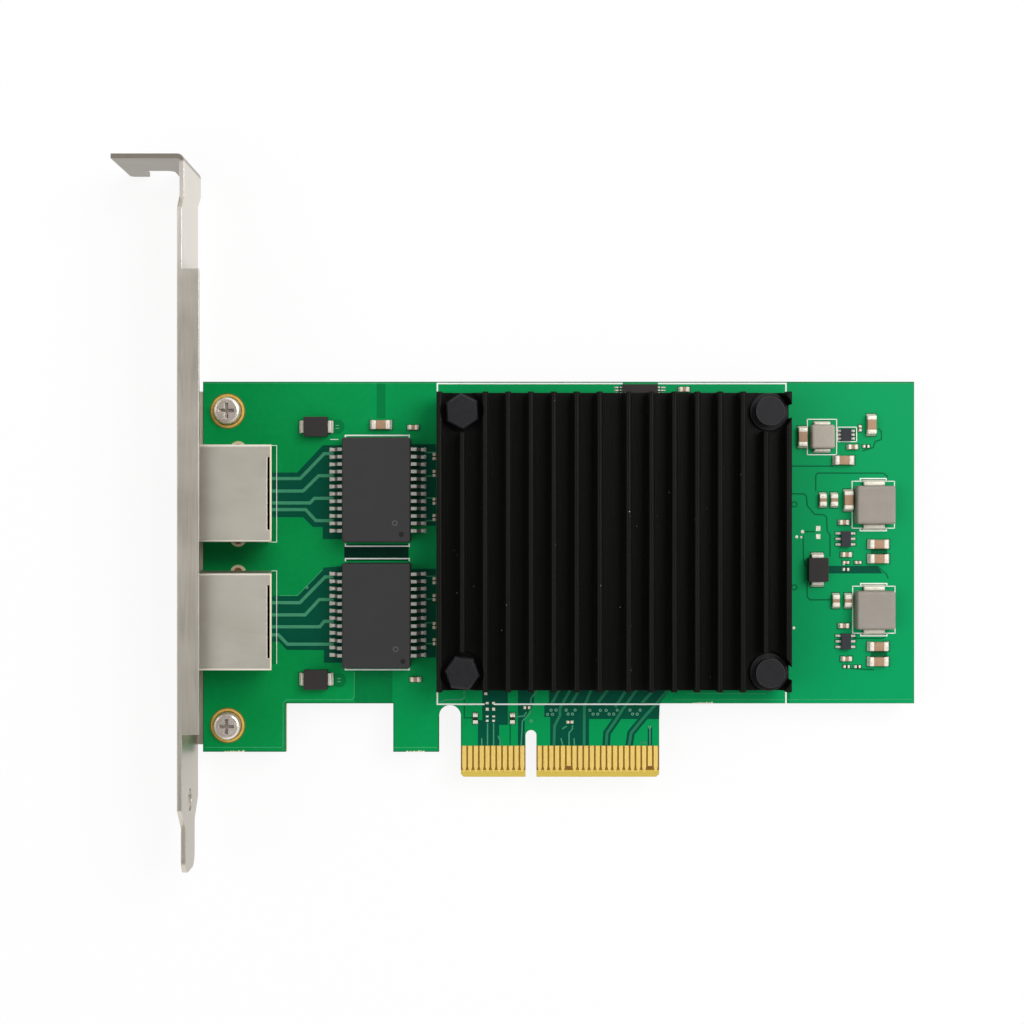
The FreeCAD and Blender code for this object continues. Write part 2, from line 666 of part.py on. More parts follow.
def make_board():
    """Laminate with the connector's tongue, its key and bevels, and all its holes."""
    body = new_body("circuit_board")
    pad(body, "XY_Plane", BOARD_BOTTOM, "0", polygon, board_outline())
    slot_centre = (f"{TONGUE_LEFT} - hook_slot_width / 2", "hook_slot_top - hook_slot_width / 2")
    drill(body, [slot_centre], "hook_slot_width / 2", BOARD_BOTTOM, "0")
    pocket(body, "XY_Plane", BOARD_BOTTOM, "0", rectangle,
           "-key_width / 2", "-bevel_height", "key_width / 2", "key_depth - key_width / 2")
    drill(body, [("0", "key_depth - key_width / 2")], "key_width / 2", BOARD_BOTTOM, "0")
    for face, inward in (("0", "-bevel_depth"), (BOARD_BOTTOM, f"{BOARD_BOTTOM} + bevel_depth")):
        pocket(body, "YZ_Plane", TONGUE_LEFT, TONGUE_RIGHT, polygon,
               (("0", face), ("bevel_height", face), ("0", inward)))
    screws = [(BRACKET_SCREW_X, "bracket_screw_low"), (BRACKET_SCREW_X, BRACKET_SCREW_HIGH)]
    screws += heatsink_screw_places("heatsink_x", HEATSINK_Y).values()
    drill(body, screws, SHANK_HOLE, BOARD_BOTTOM, "0")
    for jack_y in JACKS.values():
        legs = [(LEG_X, f"{jack_y} {sign} (jack_width - shield_thickness) / 2") for sign in "-+"]
        posts = [(POST_X, f"{jack_y} {sign} post_spacing / 2") for sign in "-+"]
        drill(body, legs, "leg_hole_radius", BOARD_BOTTOM, "0")
        drill(body, posts, "post_radius + housing_clearance", BOARD_BOTTOM, "0")
        drill(body, jack_wire_holes(jack_y), "wire_hole_radius", BOARD_BOTTOM, "0")
    return body


def contact_places():
    """Number and centre of every edge contact, counted from the bracket."""
    short_run = int(value_of("short_run"))
    long_run = int(value_of("long_run"))
    for index in range(short_run):
        yield index + 1, f"-key_to_pin - ({short_run} - 1 - {index}) * pin_pitch"
    for index in range(long_run):
        yield short_run + index + 1, f"key_to_pin + {index} * pin_pitch"


def make_edge_contacts(label, level, late_contacts):
    """Plated contacts on one face of the connector; the late ones stop short of the edge."""
    pieces = []
    for number, centre in contact_places():
        bottom = "late_contact_bottom" if number in late_contacts else "contact_bottom"
        pieces.append(block(centre, f"(contact_top + {bottom}) / 2", level, "contact_width",
                            f"contact_top - {bottom}", "contact_thickness"))
    return group(label, pieces)


# Bracket and its screws


def plate_outline():
    """Side view of the bracket, from the tongue's tip round to it again."""
    tip = "(bracket_top - bracket_length)"
    tongue_low = f"({PLATE_LOW} + tongue_rise)"
    tongue_high = f"({PLATE_LOW} + tongue_rise + tongue_width)"
    return (
        (tip, tongue_low),
        ("taper_end", tongue_low),
        ("taper_start", PLATE_LOW),
        ("step_far_start", PLATE_LOW),
        ("step_far_end", FOOT_LOW),
        ("bracket_top", FOOT_LOW),
        ("bracket_top", FOOT_HIGH),
        ("step_near_end", FOOT_HIGH),
        ("step_near_start", PLATE_HIGH),
        ("taper_start", PLATE_HIGH),
        ("taper_end", tongue_high),
        (tip, tongue_high),
    )


def foot_outline():
    """Plan of the foot with its open screw notch."""
    end = f"({PLATE_OUTER} - foot_length)"
    near = f"({PLATE_OUTER} - screw_notch_inset)"
    far = f"({PLATE_OUTER} - screw_notch_inset - screw_notch_width)"
    floor = f"({FOOT_LOW} + screw_notch_depth)"
    return (
        (end, FOOT_LOW),
        (far, FOOT_LOW),
        (far, floor),
        (near, floor),
        (near, FOOT_LOW),
        (PLATE_INNER, FOOT_LOW),
        (PLATE_INNER, FOOT_HIGH),
        (end, FOOT_HIGH),
    )


def rear_tab_outline():
    """Plan of the tab under the board, with a screw ear at each end."""
    narrow = f"({PLATE_INNER} + tab_width)"
    wide = f"({PLATE_INNER} + ear_width)"
    return (
        (PLATE_OUTER, "bracket_screw_low - ear_margin"),
        (wide, "bracket_screw_low - ear_margin"),
        (wide, "bracket_screw_low + ear_margin"),
        (narrow, "bracket_screw_low + ear_margin"),
        (narrow, f"{BRACKET_SCREW_HIGH} - ear_margin"),
        (wide, f"{BRACKET_SCREW_HIGH} - ear_margin"),
        (wide, f"{BRACKET_SCREW_HIGH} + ear_margin"),
        (PLATE_OUTER, f"{BRACKET_SCREW_HIGH} + ear_margin"),
    )


def make_bracket():
    """One folded sheet: plate, foot, front flange and rear tab, with the jack windows."""
    body = new_body("mounting_bracket")
    foot_inner = "(bracket_top - sheet_thickness)"
    pad(body, "YZ_Plane", PLATE_OUTER, PLATE_INNER, polygon, plate_outline())
    pad(body, "XZ_Plane", foot_inner, "bracket_top", polygon, foot_outline())
    pad(body, "XY_Plane", f"{PLATE_HIGH} - sheet_thickness", PLATE_HIGH, rectangle,
        PLATE_OUTER, "flange_bottom", f"{PLATE_OUTER} + flange_width", "flange_top")
    pad(body, "XY_Plane", PLATE_LOW, f"{PLATE_LOW} + sheet_thickness", polygon, rear_tab_outline())
    for jack_y in JACKS.values():
        half = "(jack_width / 2 + window_clearance)"
        pocket(body, "YZ_Plane", PLATE_OUTER, PLATE_INNER, rectangle,
               f"{jack_y} - {half}", "-window_clearance",
               f"{jack_y} + {half}", "jack_height + window_clearance")
    pocket(body, "YZ_Plane", PLATE_OUTER, PLATE_INNER, circle,
           "tongue_hole_place", f"{PLATE_LOW} + tongue_hole_rise", "tongue_hole_radius")
    screws = [(BRACKET_SCREW_X, "bracket_screw_low"), (BRACKET_SCREW_X, BRACKET_SCREW_HIGH)]
    drill(body, screws, "screw_radius + thread_clearance", PLATE_LOW, BOARD_BOTTOM)
    round_bracket(body, foot_inner)
    return body


def round_bracket(body, foot_inner):
    """Bends with an inner and an outer radius, and the round corners of foot and tongue."""
    outer_radius = "bend_radius + sheet_thickness"
    tip = "bracket_top - bracket_length"
    tongue_low = f"{PLATE_LOW} + tongue_rise"
    notch_floor = f"{FOOT_LOW} + screw_notch_depth"
    round_edges(body, outer_radius, [
        {"x": PLATE_OUTER, "z": PLATE_LOW},
        {"x": PLATE_INNER, "y": "bracket_top"},
    ])
    round_edges(body, "bend_radius", [
        {"x": PLATE_OUTER, "y": foot_inner},
        {"x": PLATE_INNER, "z": f"{PLATE_HIGH} - sheet_thickness"},
    ])
    round_edges(body, "notch_radius", [
        {"x": f"{PLATE_OUTER} - screw_notch_inset", "z": notch_floor},
        {"x": f"{PLATE_OUTER} - screw_notch_inset - screw_notch_width", "z": notch_floor},
    ])
    round_edges(body, "foot_corner", [{"x": f"{PLATE_OUTER} - foot_length", "z": FOOT_LOW}])
    round_edges(body, "tongue_corner", [
        {"y": tip, "z": tongue_low},
        {"y": tip, "z": f"{tongue_low} + tongue_width"},
    ])


def make_bracket_screws():
    """Two pan-head screws with cross recesses, through the board into the rear tab."""
    pieces = []
    shank_low = f"({PLATE_LOW} - screw_tip_length)"
    for height in ("bracket_screw_low", BRACKET_SCREW_HIGH):
        shank = cylinder(BRACKET_SCREW_X, height, shank_low, "screw_radius", f"-{shank_low}")
        head = cylinder(BRACKET_SCREW_X, height, "0", "pan_head_radius", "pan_head_height")
        rounded = softened("Part::Fillet", head, "pan_head_bevel")
        recess_low = "pan_head_height - recess_depth"
        arms = [block(BRACKET_SCREW_X, height, recess_low, "recess_length", "recess_width",
                      "recess_depth"),
                block(BRACKET_SCREW_X, height, recess_low, "recess_width", "recess_length",
                      "recess_depth")]
        pieces.append(cut(joined(rounded, shank), joined(*arms)))
    return group("bracket_screws", pieces)


# Jacks


def shield_outline():
    """Side view of a jack shield, with its legs and the leaning rear flap."""
    leg_left = f"({LEG_X} - leg_width / 2)"
    leg_right = f"({LEG_X} + leg_width / 2)"
    tail = f"({BOARD_BOTTOM} - solder_tail)"
    return (
        (JACK_FRONT, "0"),
        (JACK_FRONT, "jack_height"),
        (JACK_REAR, "jack_height"),
        (f"{JACK_REAR} - rear_lean", "0"),
        (leg_right, "0"),
        (leg_right, tail),
        (leg_left, tail),
        (leg_left, "0"),
    )


def shield_hollow():
    """Side view of the space inside a jack shield, open below."""
    inner_front = f"({JACK_FRONT} + shield_thickness)"
    inner_top = "(jack_height - shield_thickness)"
    tail = f"({BOARD_BOTTOM} - solder_tail)"
    lean = "rear_lean / jack_height"
    return (
        (inner_front, tail),
        (inner_front, inner_top),
        (f"{JACK_REAR} - shield_thickness * (1 + {lean})", inner_top),
        (f"{JACK_REAR} - rear_lean - shield_thickness", "0"),
        (f"{JACK_REAR} - rear_lean - shield_thickness", tail),
    )


def make_jack_shield(name, jack_y):
    """Folded can: top, sides, front frame, leaning rear flap and four soldered legs."""
    body = new_body(f"{name}_shield")
    low, high = f"{jack_y} - jack_width / 2", f"{jack_y} + jack_width / 2"
    pad(body, "XZ_Plane", low, high, polygon, shield_outline())
    pocket(body, "XZ_Plane", f"{low} + shield_thickness", f"{high} - shield_thickness",
           polygon, shield_hollow())
    inner_front = f"({JACK_FRONT} + shield_thickness)"
    half = "(jack_width / 2 - window_frame)"
    pocket(body, "YZ_Plane", JACK_FRONT, inner_front, rectangle,
           f"{jack_y} - {half}", "0", f"{jack_y} + {half}", "jack_height - window_frame")
    slot_right = f"({JACK_REAR} - rear_slot_inset)"
    pocket(body, "XY_Plane", "jack_height - shield_thickness", "jack_height", rectangle,
           f"{slot_right} - rear_slot_width", f"{jack_y} - rear_slot_length / 2",
           slot_right, f"{jack_y} + rear_slot_length / 2")
    round_edges(body, "shield_radius", [
        {"y": low, "z": "jack_height"},
        {"y": high, "z": "jack_height"},
    ])
    return body


def make_jack_housing(name, jack_y):
    """Plastic body: plug opening with its latch channel, wire slot, light pockets and posts."""
    body = new_body(f"{name}_housing")
    pad(body, "XY_Plane", "0", HOUSING_TOP, rectangle,
        HOUSING_FRONT, f"{jack_y} - {HOUSING_HALF}", HOUSING_REAR, f"{jack_y} + {HOUSING_HALF}")
    posts = sketch_on(body, "XY_Plane", f"{BOARD_BOTTOM} - post_tail", "0")
    for sign in "-+":
        circle(posts, POST_X, f"{jack_y} {sign} post_spacing / 2", "post_radius")
    extrude(body, "PartDesign::Pad", posts, f"{BOARD_BOTTOM} - post_tail", "0")
    socket_end = f"({HOUSING_FRONT} + socket_depth)"
    pocket(body, "YZ_Plane", HOUSING_FRONT, socket_end, polygon, socket_outline(jack_y))
    wires_half = "(wire_count * wire_pitch / 2)"
    wires_front = f"({HOUSING_FRONT} + wire_front_inset - wire_slot_clearance)"
    slot_low = "(wire_roof - wire_slot_clearance)"
    slot_high = "(wire_roof + wire_thickness + wire_slot_clearance)"
    pocket(body, "XY_Plane", slot_low, slot_high, rectangle,
           wires_front, f"{jack_y} - {wires_half}", HOUSING_REAR, f"{jack_y} + {wires_half}")
    pocket(body, "XY_Plane", "socket_high", slot_low, rectangle,
           wires_front, f"{jack_y} - {wires_half}",
           f"{HOUSING_FRONT} + wire_front_inset + wire_reach / 2", f"{jack_y} + {wires_half}")
    for sign in "-+":
        centre = f"({jack_y} {sign} light_spacing / 2)"
        half = "(light_width / 2 + housing_clearance)"
        pocket(body, "YZ_Plane", HOUSING_FRONT, f"{HOUSING_FRONT} + light_depth", rectangle,
               f"{centre} - {half}", "light_low - housing_clearance",
               f"{centre} + {half}", "light_low + light_height + housing_clearance")
    return body


def socket_outline(jack_y):
    """Front view of the plug opening, with the latch channel below it."""
    wide_low, wide_high = f"{jack_y} - socket_width / 2", f"{jack_y} + socket_width / 2"
    latch_low, latch_high = f"{jack_y} - latch_width / 2", f"{jack_y} + latch_width / 2"
    return (
        (wide_low, "socket_high"),
        (wide_low, "socket_low"),
        (latch_low, "socket_low"),
        (latch_low, "latch_low"),
        (latch_high, "latch_low"),
        (latch_high, "socket_low"),
        (wide_high, "socket_low"),
        (wide_high, "socket_high"),
    )


def wire_outline():
    """Side view of one spring contact: solder tail, run through the roof and sloping end."""
    tail = f"({BOARD_BOTTOM} - solder_tail)"
    roof = "(wire_roof + wire_thickness)"
    front = f"({HOUSING_FRONT} + wire_front_inset)"
    tip_x = f"({front} + wire_reach)"
    tip_z = "(wire_roof - wire_drop)"
    return (
        (WIRE_TAIL, tail),
        (f"{WIRE_TAIL} + wire_thickness", tail),
        (f"{WIRE_TAIL} + wire_thickness", roof),
        (front, roof),
        (front, "socket_high - wire_thickness"),
        (tip_x, f"{tip_z} - wire_thickness"),
        (tip_x, tip_z),
        (f"{front} + wire_thickness", "socket_high"),
        (f"{front} + wire_thickness", "wire_roof"),
        (WIRE_TAIL, "wire_roof"),
    )


def make_jack_wires(name, jack_y):
    """Eight spring contacts side by side."""
    body = new_body(f"{name}_contacts")
    first = f"({jack_y} - (wire_count - 1) / 2 * wire_pitch)"
    wire = pad(body, "XZ_Plane", f"{first} - wire_width / 2", f"{first} + wire_width / 2",
               polygon, wire_outline())
    row_of(body, wire, "Y_Axis", "wire_count", "wire_pitch")
    return body


def make_link_lights():
    """Two lenses in the front of each jack."""
    pieces = []
    for jack_y in JACKS.values():
        for sign in "-+":
            pieces.append(block(f"{HOUSING_FRONT} + light_depth / 2",
                                f"{jack_y} {sign} light_spacing / 2", "light_low",
                                "light_depth", "light_width", "light_height"))
    return group("link_lights", pieces)


# Leads and terminals


def gull_wing(half_body, thickness, rise, shoulder, reach):
    """Side view of a lead that leaves a body level, drops to the board and runs outward."""
    start = f"({half_body})"
    bend = f"({half_body} + {shoulder})"
    return (
        (start, rise),
        (f"{bend} - {thickness}", rise),
        (f"{bend} - {thickness}", "0"),
        (f"{half_body} + {reach}", "0"),
        (f"{half_body} + {reach}", thickness),
        (bend, thickness),
        (bend, f"{rise} + {thickness}"),
        (start, f"{rise} + {thickness}"),
    )


def lead_rows(body, outline, width, count, pitch):
    """Two facing rows of leads, centred on the body's origin and running along Y."""
    first = f"(-({count} - 1) / 2 * ({pitch}))"
    lead = pad(body, "XZ_Plane", f"{first} - {width} / 2", f"{first} + {width} / 2",
               polygon, outline)
    mirrored_row(body, lead, "Y_Axis", count, pitch, "YZ_Plane")


def rounded_block(body, size_x, size_y, low, high, radius):
    """Moulded block centred on the body's origin, with rounded upright and top edges."""
    pad(body, "XY_Plane", low, high, rectangle,
        f"-({size_x}) / 2", f"-({size_y}) / 2", f"({size_x}) / 2", f"({size_y}) / 2")
    upright = [{"x": f"{sx}({size_x}) / 2", "y": f"{sy}({size_y}) / 2"}
               for sx in ("-", "") for sy in ("-", "")]
    along_y = [{"x": f"{sx}({size_x}) / 2", "z": high} for sx in ("-", "")]
    along_x = [{"y": f"{sy}({size_y}) / 2", "z": high} for sy in ("-", "")]
    round_edges(body, radius, upright + along_y + along_x)


# Magnetics modules


def make_magnetics(name, module_y):
    """Moulded transformer module and its two rows of leads."""
    body = new_body(f"{name}_body")
    rounded_block(body, "module_width", "module_length", "module_standoff", "module_height",
                  "module_radius")
    leads = new_body(f"{name}_leads")
    outline = gull_wing("module_width / 2", "module_lead_thickness", "module_lead_rise",
                        "module_lead_shoulder", "module_lead_reach")
    lead_rows(leads, outline, "module_lead_width", "module_lead_count", "module_lead_pitch")
    for piece in (body, leads):
        move(piece, "module_place", module_y)


# Controller chip, heatsink and their fixings


def make_controller():
    """Ball-grid chip: solder balls, substrate and lid, with the thermal pad on top."""
    balls = new_body("controller_solder_balls")
    first = "(-(ball_rows - 1) / 2 * ball_pitch)"
    ball = pad(balls, "XY_Plane", "0", "ball_height", circle, first, first, "ball_radius")
    rows = balls.newObject("PartDesign::LinearPattern", "Row")
    columns = balls.newObject("PartDesign::LinearPattern", "Column")
    for pattern, axis in ((rows, "X_Axis"), (columns, "Y_Axis")):
        pattern.Direction = (plane_of(balls, axis), [""])
        pattern.Mode = "Spacing"
        pattern.setExpression("Offset", bound("ball_pitch"))
        pattern.setExpression("Occurrences", bound("ball_rows"))
    grid = balls.newObject("PartDesign::MultiTransform", "Grid")
    grid.Originals = [ball]
    grid.Transformations = [rows, columns]
    balls.Tip = grid
    move(balls, "heatsink_x", HEATSINK_Y)
    level = "ball_height"
    for label, side, thickness in (
            ("controller_substrate", "controller_side", "substrate_thickness"),
            ("controller_lid", "lid_side", "lid_thickness"),
            ("thermal_pad", "lid_side", "thermal_pad_thickness")):
        slab = block("heatsink_x", HEATSINK_Y, level, side, side, thickness)
        slab.Label = label
        NODES.append(slab)
        level = f"{level} + {thickness}"


def fin_section(sketch):
    """Section of the right middle fin with its round tip, in the heatsink's own frame."""
    left, right = "(middle_pitch - fin_thickness) / 2", "(middle_pitch + fin_thickness) / 2"
    root, shoulder = "base_thickness", "base_thickness + fin_height - fin_thickness / 2"
    corners = ((left, shoulder), (left, root), (right, root), (right, shoulder))
    points = [Vector(value_of(across), value_of(up), 0) for across, up in corners]
    for start, end in zip(points, points[1:]):
        sketch.addGeometry(Part.LineSegment(start, end), False)
    centre = (points[0] + points[3]) / 2
    tip = Part.Circle(centre, Vector(0, 0, 1), value_of("fin_thickness / 2"))
    sketch.addGeometry(Part.ArcOfCircle(tip, 0, math.pi), False)
    for first, first_end, second, second_end in ((0, 2, 1, 1), (1, 2, 2, 1), (2, 2, 3, 1),
                                                 (3, 2, 0, 1)):
        joint = Sketcher.Constraint("Coincident", first, first_end, second, second_end)
        sketch.addConstraint(joint)
    for index, (across, up) in enumerate(corners[:3]):
        place_point(sketch, index, 1, across, up)
    place_point(sketch, 2, 2, *corners[3])
    level = Sketcher.Constraint("DistanceY", -1, 1, 3, 3, value_of(shoulder))
    sketch.setExpression(f"Constraints[{sketch.addConstraint(level)}]", bound(shoulder))


def make_heatsink():
    """Extruded base with two sets of fins, cleared round each screw."""
    body = new_body("heatsink")
    low, high = "-heatsink_width / 2", "heatsink_width / 2"
    pad(body, "XZ_Plane", low, high, rectangle,
        "-heatsink_length / 2", "0", "heatsink_length / 2", "base_thickness")
    fin = pad(body, "XZ_Plane", low, high, fin_section)
    mirrored_row(body, fin, "X_Axis", "fins_per_half", FIN_PITCH, "YZ_Plane")
    corners = heatsink_screw_places("0", "0").values()
    drill(body, corners, "corner_radius", "base_thickness - corner_sink",
          "base_thickness + fin_height")
    drill(body, corners, SHANK_HOLE, "0", "base_thickness")
    move(body, "heatsink_x", HEATSINK_Y, HEATSINK_BOTTOM)
    return body


def make_heatsink_fixings():
    """Screws, spacers and nuts of the heatsink: hex heads at its left, round caps at its right."""
    hex_screws, round_screws, spacers, nuts = [], [], [], []
    screw_low = f"({BOARD_BOTTOM} - nut_height)"
    for (level, side), (across, up) in heatsink_screw_places("heatsink_x", HEATSINK_Y).items():
        shank = cylinder(across, up, screw_low, "screw_radius", f"{CORNER_FLOOR} - {screw_low}")
        if side == "left":
            head = hexagon(across, up, CORNER_FLOOR, "hex_head_across", "hex_head_height",
                           HEX_HEAD_TURNS[level])
            hex_screws.append(joined(shank, softened("Part::Chamfer", head, "hex_head_bevel")))
        else:
            flange = cylinder(across, up, CORNER_FLOOR, "cap_flange_radius", "cap_flange_height")
            cap = cylinder(across, up, CORNER_FLOOR, "cap_radius", "cap_height")
            round_screws.append(joined(shank, flange, cap))
        spacers.append(cut(cylinder(across, up, "0", "spacer_radius", HEATSINK_BOTTOM),
                           cylinder(across, up, "0", SHANK_HOLE, HEATSINK_BOTTOM)))
        nuts.append(cut(hexagon(across, up, screw_low, "nut_across", "nut_height", 0),
                        cylinder(across, up, screw_low, "screw_radius + thread_clearance",
                                 "nut_height")))
    group("heatsink_hex_screws", hex_screws)
    group("heatsink_round_screws", round_screws)
    group("heatsink_spacers", spacers)
    group("heatsink_nuts", nuts)


# Small chips


def make_support_chip():
    """Fine-pitch chip whose far end lies under the heatsink."""
    centre_y = "board_height - support_top - support_length / 2"
    body = new_body("support_chip_body")
    pad(body, "XY_Plane", "chip_standoff", "support_height", rectangle, "-support_width / 2",
        "-support_length / 2", "support_width / 2", "support_length / 2")
    leads = new_body("support_chip_leads")
    outline = gull_wing("support_width / 2", "fine_lead_thickness", "fine_lead_rise",
                        "fine_lead_shoulder", "fine_lead_reach")
    lead_rows(leads, outline, "fine_lead_width", "support_lead_count", "support_pitch")
    for piece in (body, leads):
        move(piece, "support_x", centre_y)


def make_converter_chips():
    """Two six-pin converter chips."""
    bodies = []
    pins = []
    for x, height in CONVERTER_CHIPS:
        y = up_board(height)
        bodies.append(block(x, y, "chip_standoff", "six_pin_width", "six_pin_length",
                            "six_pin_height - chip_standoff"))
        pins += six_pins(x, y, "six_pin_width", "six_pin_pitch", "six_pin_reach")
    group("converter_chip_bodies", bodies)
    group("converter_chip_pins", pins)


def make_small_chip():
    """Small six-pin chip beside the metal-cased inductor."""
    x, y = SMALL_CHIP[0], up_board(SMALL_CHIP[1])
    group("small_chip_body", [block(x, y, "chip_standoff", "small_chip_width", "small_chip_length",
                                    "small_chip_height - chip_standoff")])
    group("small_chip_pins", six_pins(x, y, "small_chip_width", "small_chip_pitch",
                                     "small_chip_reach"))


def six_pins(x, y, body_width, pitch, reach):
    """Three flat pins on each side of a small chip."""
    pins = []
    for sign in "-+":
        for step in (-1, 0, 1):
            centre_x = f"{x} {sign} ({body_width} + {reach}) / 2"
            pins.append(block(centre_x, f"{y} + {step} * {pitch}", "0", reach, "flat_pin_width",
                              "flat_pin_thickness"))
    return pins


# Inductors and diodes


def straps(x, y, direction, length, width, reach, rise):
    """Terminal straps at both ends of a moulded part: up its end face and out along the board."""
    pieces = []
    for sign in "-+":
        upright = end_block(x, y, direction, sign, length, "0", "strap_thickness", width, rise)
        foot = end_block(x, y, direction, sign, length, "0", reach, width, "strap_thickness")
        pieces.append(joined(upright, foot))
    return pieces


def end_block(x, y, direction, sign, length, low, depth, width, height):
    """Block that stands against one end face of a part."""
    offset = f"{sign} (({length}) + ({depth})) / 2"
    if direction == ALONG_X:
        return block(f"{x} {offset}", y, low, depth, width, height)
    return block(x, f"{y} {offset}", low, width, depth, height)


def make_power_inductors():
    """Two moulded power inductors and their terminal straps."""
    terminals = []
    for name, place in INDUCTORS.items():
        body = new_body(f"{name}_power_inductor")
        rounded_block(body, "inductor_side", "inductor_side", "0", "inductor_height",
                      "inductor_radius")
        move(body, "inductor_x", place)
        terminals += straps("inductor_x", place, ALONG_Y, "inductor_side", "strap_width",
                            "strap_reach", "strap_rise")
    group("power_inductor_terminals", terminals)


def make_small_inductor():
    """Metal-cased inductor and its terminals."""
    body = new_body("small_inductor")
    rounded_block(body, "coil_side", "coil_side", "0", "coil_height", "inductor_radius")
    move(body, "coil_x", up_board("coil_y"))
    group("small_inductor_terminals", straps("coil_x", up_board("coil_y"), ALONG_Y, "coil_side",
                                             "coil_strap_width", "coil_strap_reach",
                                             "strap_rise"))


def make_diodes():
    """Three moulded diodes and their terminals."""
    bodies = []
    terminals = []
    for x, height, direction in DIODES:
        y = up_board(height)
        size_x, size_y = "diode_length", "diode_width"
        if direction == ALONG_Y:
            size_x, size_y = size_y, size_x
        bodies.append(block(x, y, "chip_standoff", size_x, size_y,
                            "diode_height - chip_standoff"))
        terminals += straps(x, y, direction, "diode_length", "diode_strap_width",
                            "diode_strap_reach", "diode_height / 2")
    group("diode_bodies", bodies)
    group("diode_terminals", terminals)


# Chip capacitors and resistors


def chip_pieces(places, case, height):
    """Body and end terminals of every chip of one case size."""
    bodies = []
    terminals = []
    inner_length = f"{case}_length - 2 * {case}_terminal"
    inner_width = f"{case}_width - 2 * terminal_step"
    for x, y, direction in places:
        size_x, size_y = inner_length, inner_width
        if direction == ALONG_Y:
            size_x, size_y = size_y, size_x
        bodies.append(block(x, y, "terminal_step", size_x, size_y, f"{height} - 2 * terminal_step"))
        for sign in "-+":
            terminals.append(end_block(x, y, direction, sign, inner_length, "0",
                                       f"{case}_terminal", f"{case}_width", height))
    return bodies, terminals


def coupling_capacitor_places():
    """Tiny capacitors beside each module, at the heatsink's edge."""
    places = []
    for height in COUPLING_CAPACITOR_HEIGHTS:
        places.append((COUPLING_CAPACITOR_X, up_board(height), ALONG_X))
        places.append((COUPLING_CAPACITOR_X, up_board(f"({height} - module_pitch)"), ALONG_X))
    return places


def on_board(places):
    """The places of a table, with their heights following the board's."""
    return [(x, up_board(height), direction) for x, height, direction in places]


def make_chips():
    """All ceramic capacitors and resistors, one pair of nodes for each kind."""
    tiny_capacitors = on_board(TINY_CAPACITORS) + coupling_capacitor_places()
    kinds = (
        ("large_capacitor", on_board(LARGE_CAPACITORS), "large", "large_height"),
        ("medium_capacitor", on_board(MEDIUM_CAPACITORS), "medium", "medium_height"),
        ("small_capacitor", on_board(SMALL_CAPACITORS), "small", "small_height"),
        ("tiny_capacitor", tiny_capacitors, "tiny", "tiny_height"),
        ("small_resistor", on_board(SMALL_RESISTORS), "small", "resistor_height"),
        ("tiny_resistor", on_board(TINY_RESISTORS), "tiny", "resistor_height"),
    )
    for name, places, case, height in kinds:
        bodies, terminals = chip_pieces(places, case, height)
        group(f"{name}_bodies", bodies)
        group(f"{name}_terminals", terminals)


def build():
    """Make every sub-part."""
    fill_sheet()
    make_board()
    make_edge_contacts("component_side_contacts", "0", (17, 31))
    make_edge_contacts("solder_side_contacts", f"{BOARD_BOTTOM} - contact_thickness", (1,))
    make_bracket()
    make_bracket_screws()
    for name, jack_y in JACKS.items():
        make_jack_shield(name, jack_y)
        make_jack_housing(name, jack_y)
        make_jack_wires(name, jack_y)
    make_link_lights()
    for name, module_y in MODULES.items():
        make_magnetics(name, module_y)
    make_controller()
    make_heatsink()
    make_heatsink_fixings()
    make_support_chip()
    make_converter_chips()
    make_small_chip()
    make_power_inductors()
    make_small_inductor()
    make_diodes()
    make_chips()
    DOC.recompute()


def check():
    """Stop if any feature failed or any sub-part has no valid solid."""
    for item in DOC.Objects:
        if "Invalid" in item.State or "Error" in item.State:
            raise RuntimeError(f"{item.Name} ({item.Label}) failed: {item.State}")
    for node in NODES:
        shape = node.Shape
        if shape.isNull() or not shape.isValid() or not shape.Solids:
            raise RuntimeError(f"{node.Label} has no valid solid")


def export():
    """Write one STEP file for each sub-part."""
    os.makedirs("parts", exist_ok=True)
    for node in NODES:
        node.Shape.exportStep(f"parts/{node.Label}.step")
        print(f"{node.Label}: {len(node.Shape.Solids)} solids, {node.Shape.Volume:.2f} mm3")


build()
check()
export()
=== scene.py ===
# %% [markdown]
# # A network card with two cable sockets
# The card's solid parts come ready made in one shared frame, in metres. They are loaded first and
# stay where they are. This lesson gives them their finishes, and adds the thin things that lie on
# the board, such as its wires, its printed lines and its solder.

# %% Load the frame
import math
import random

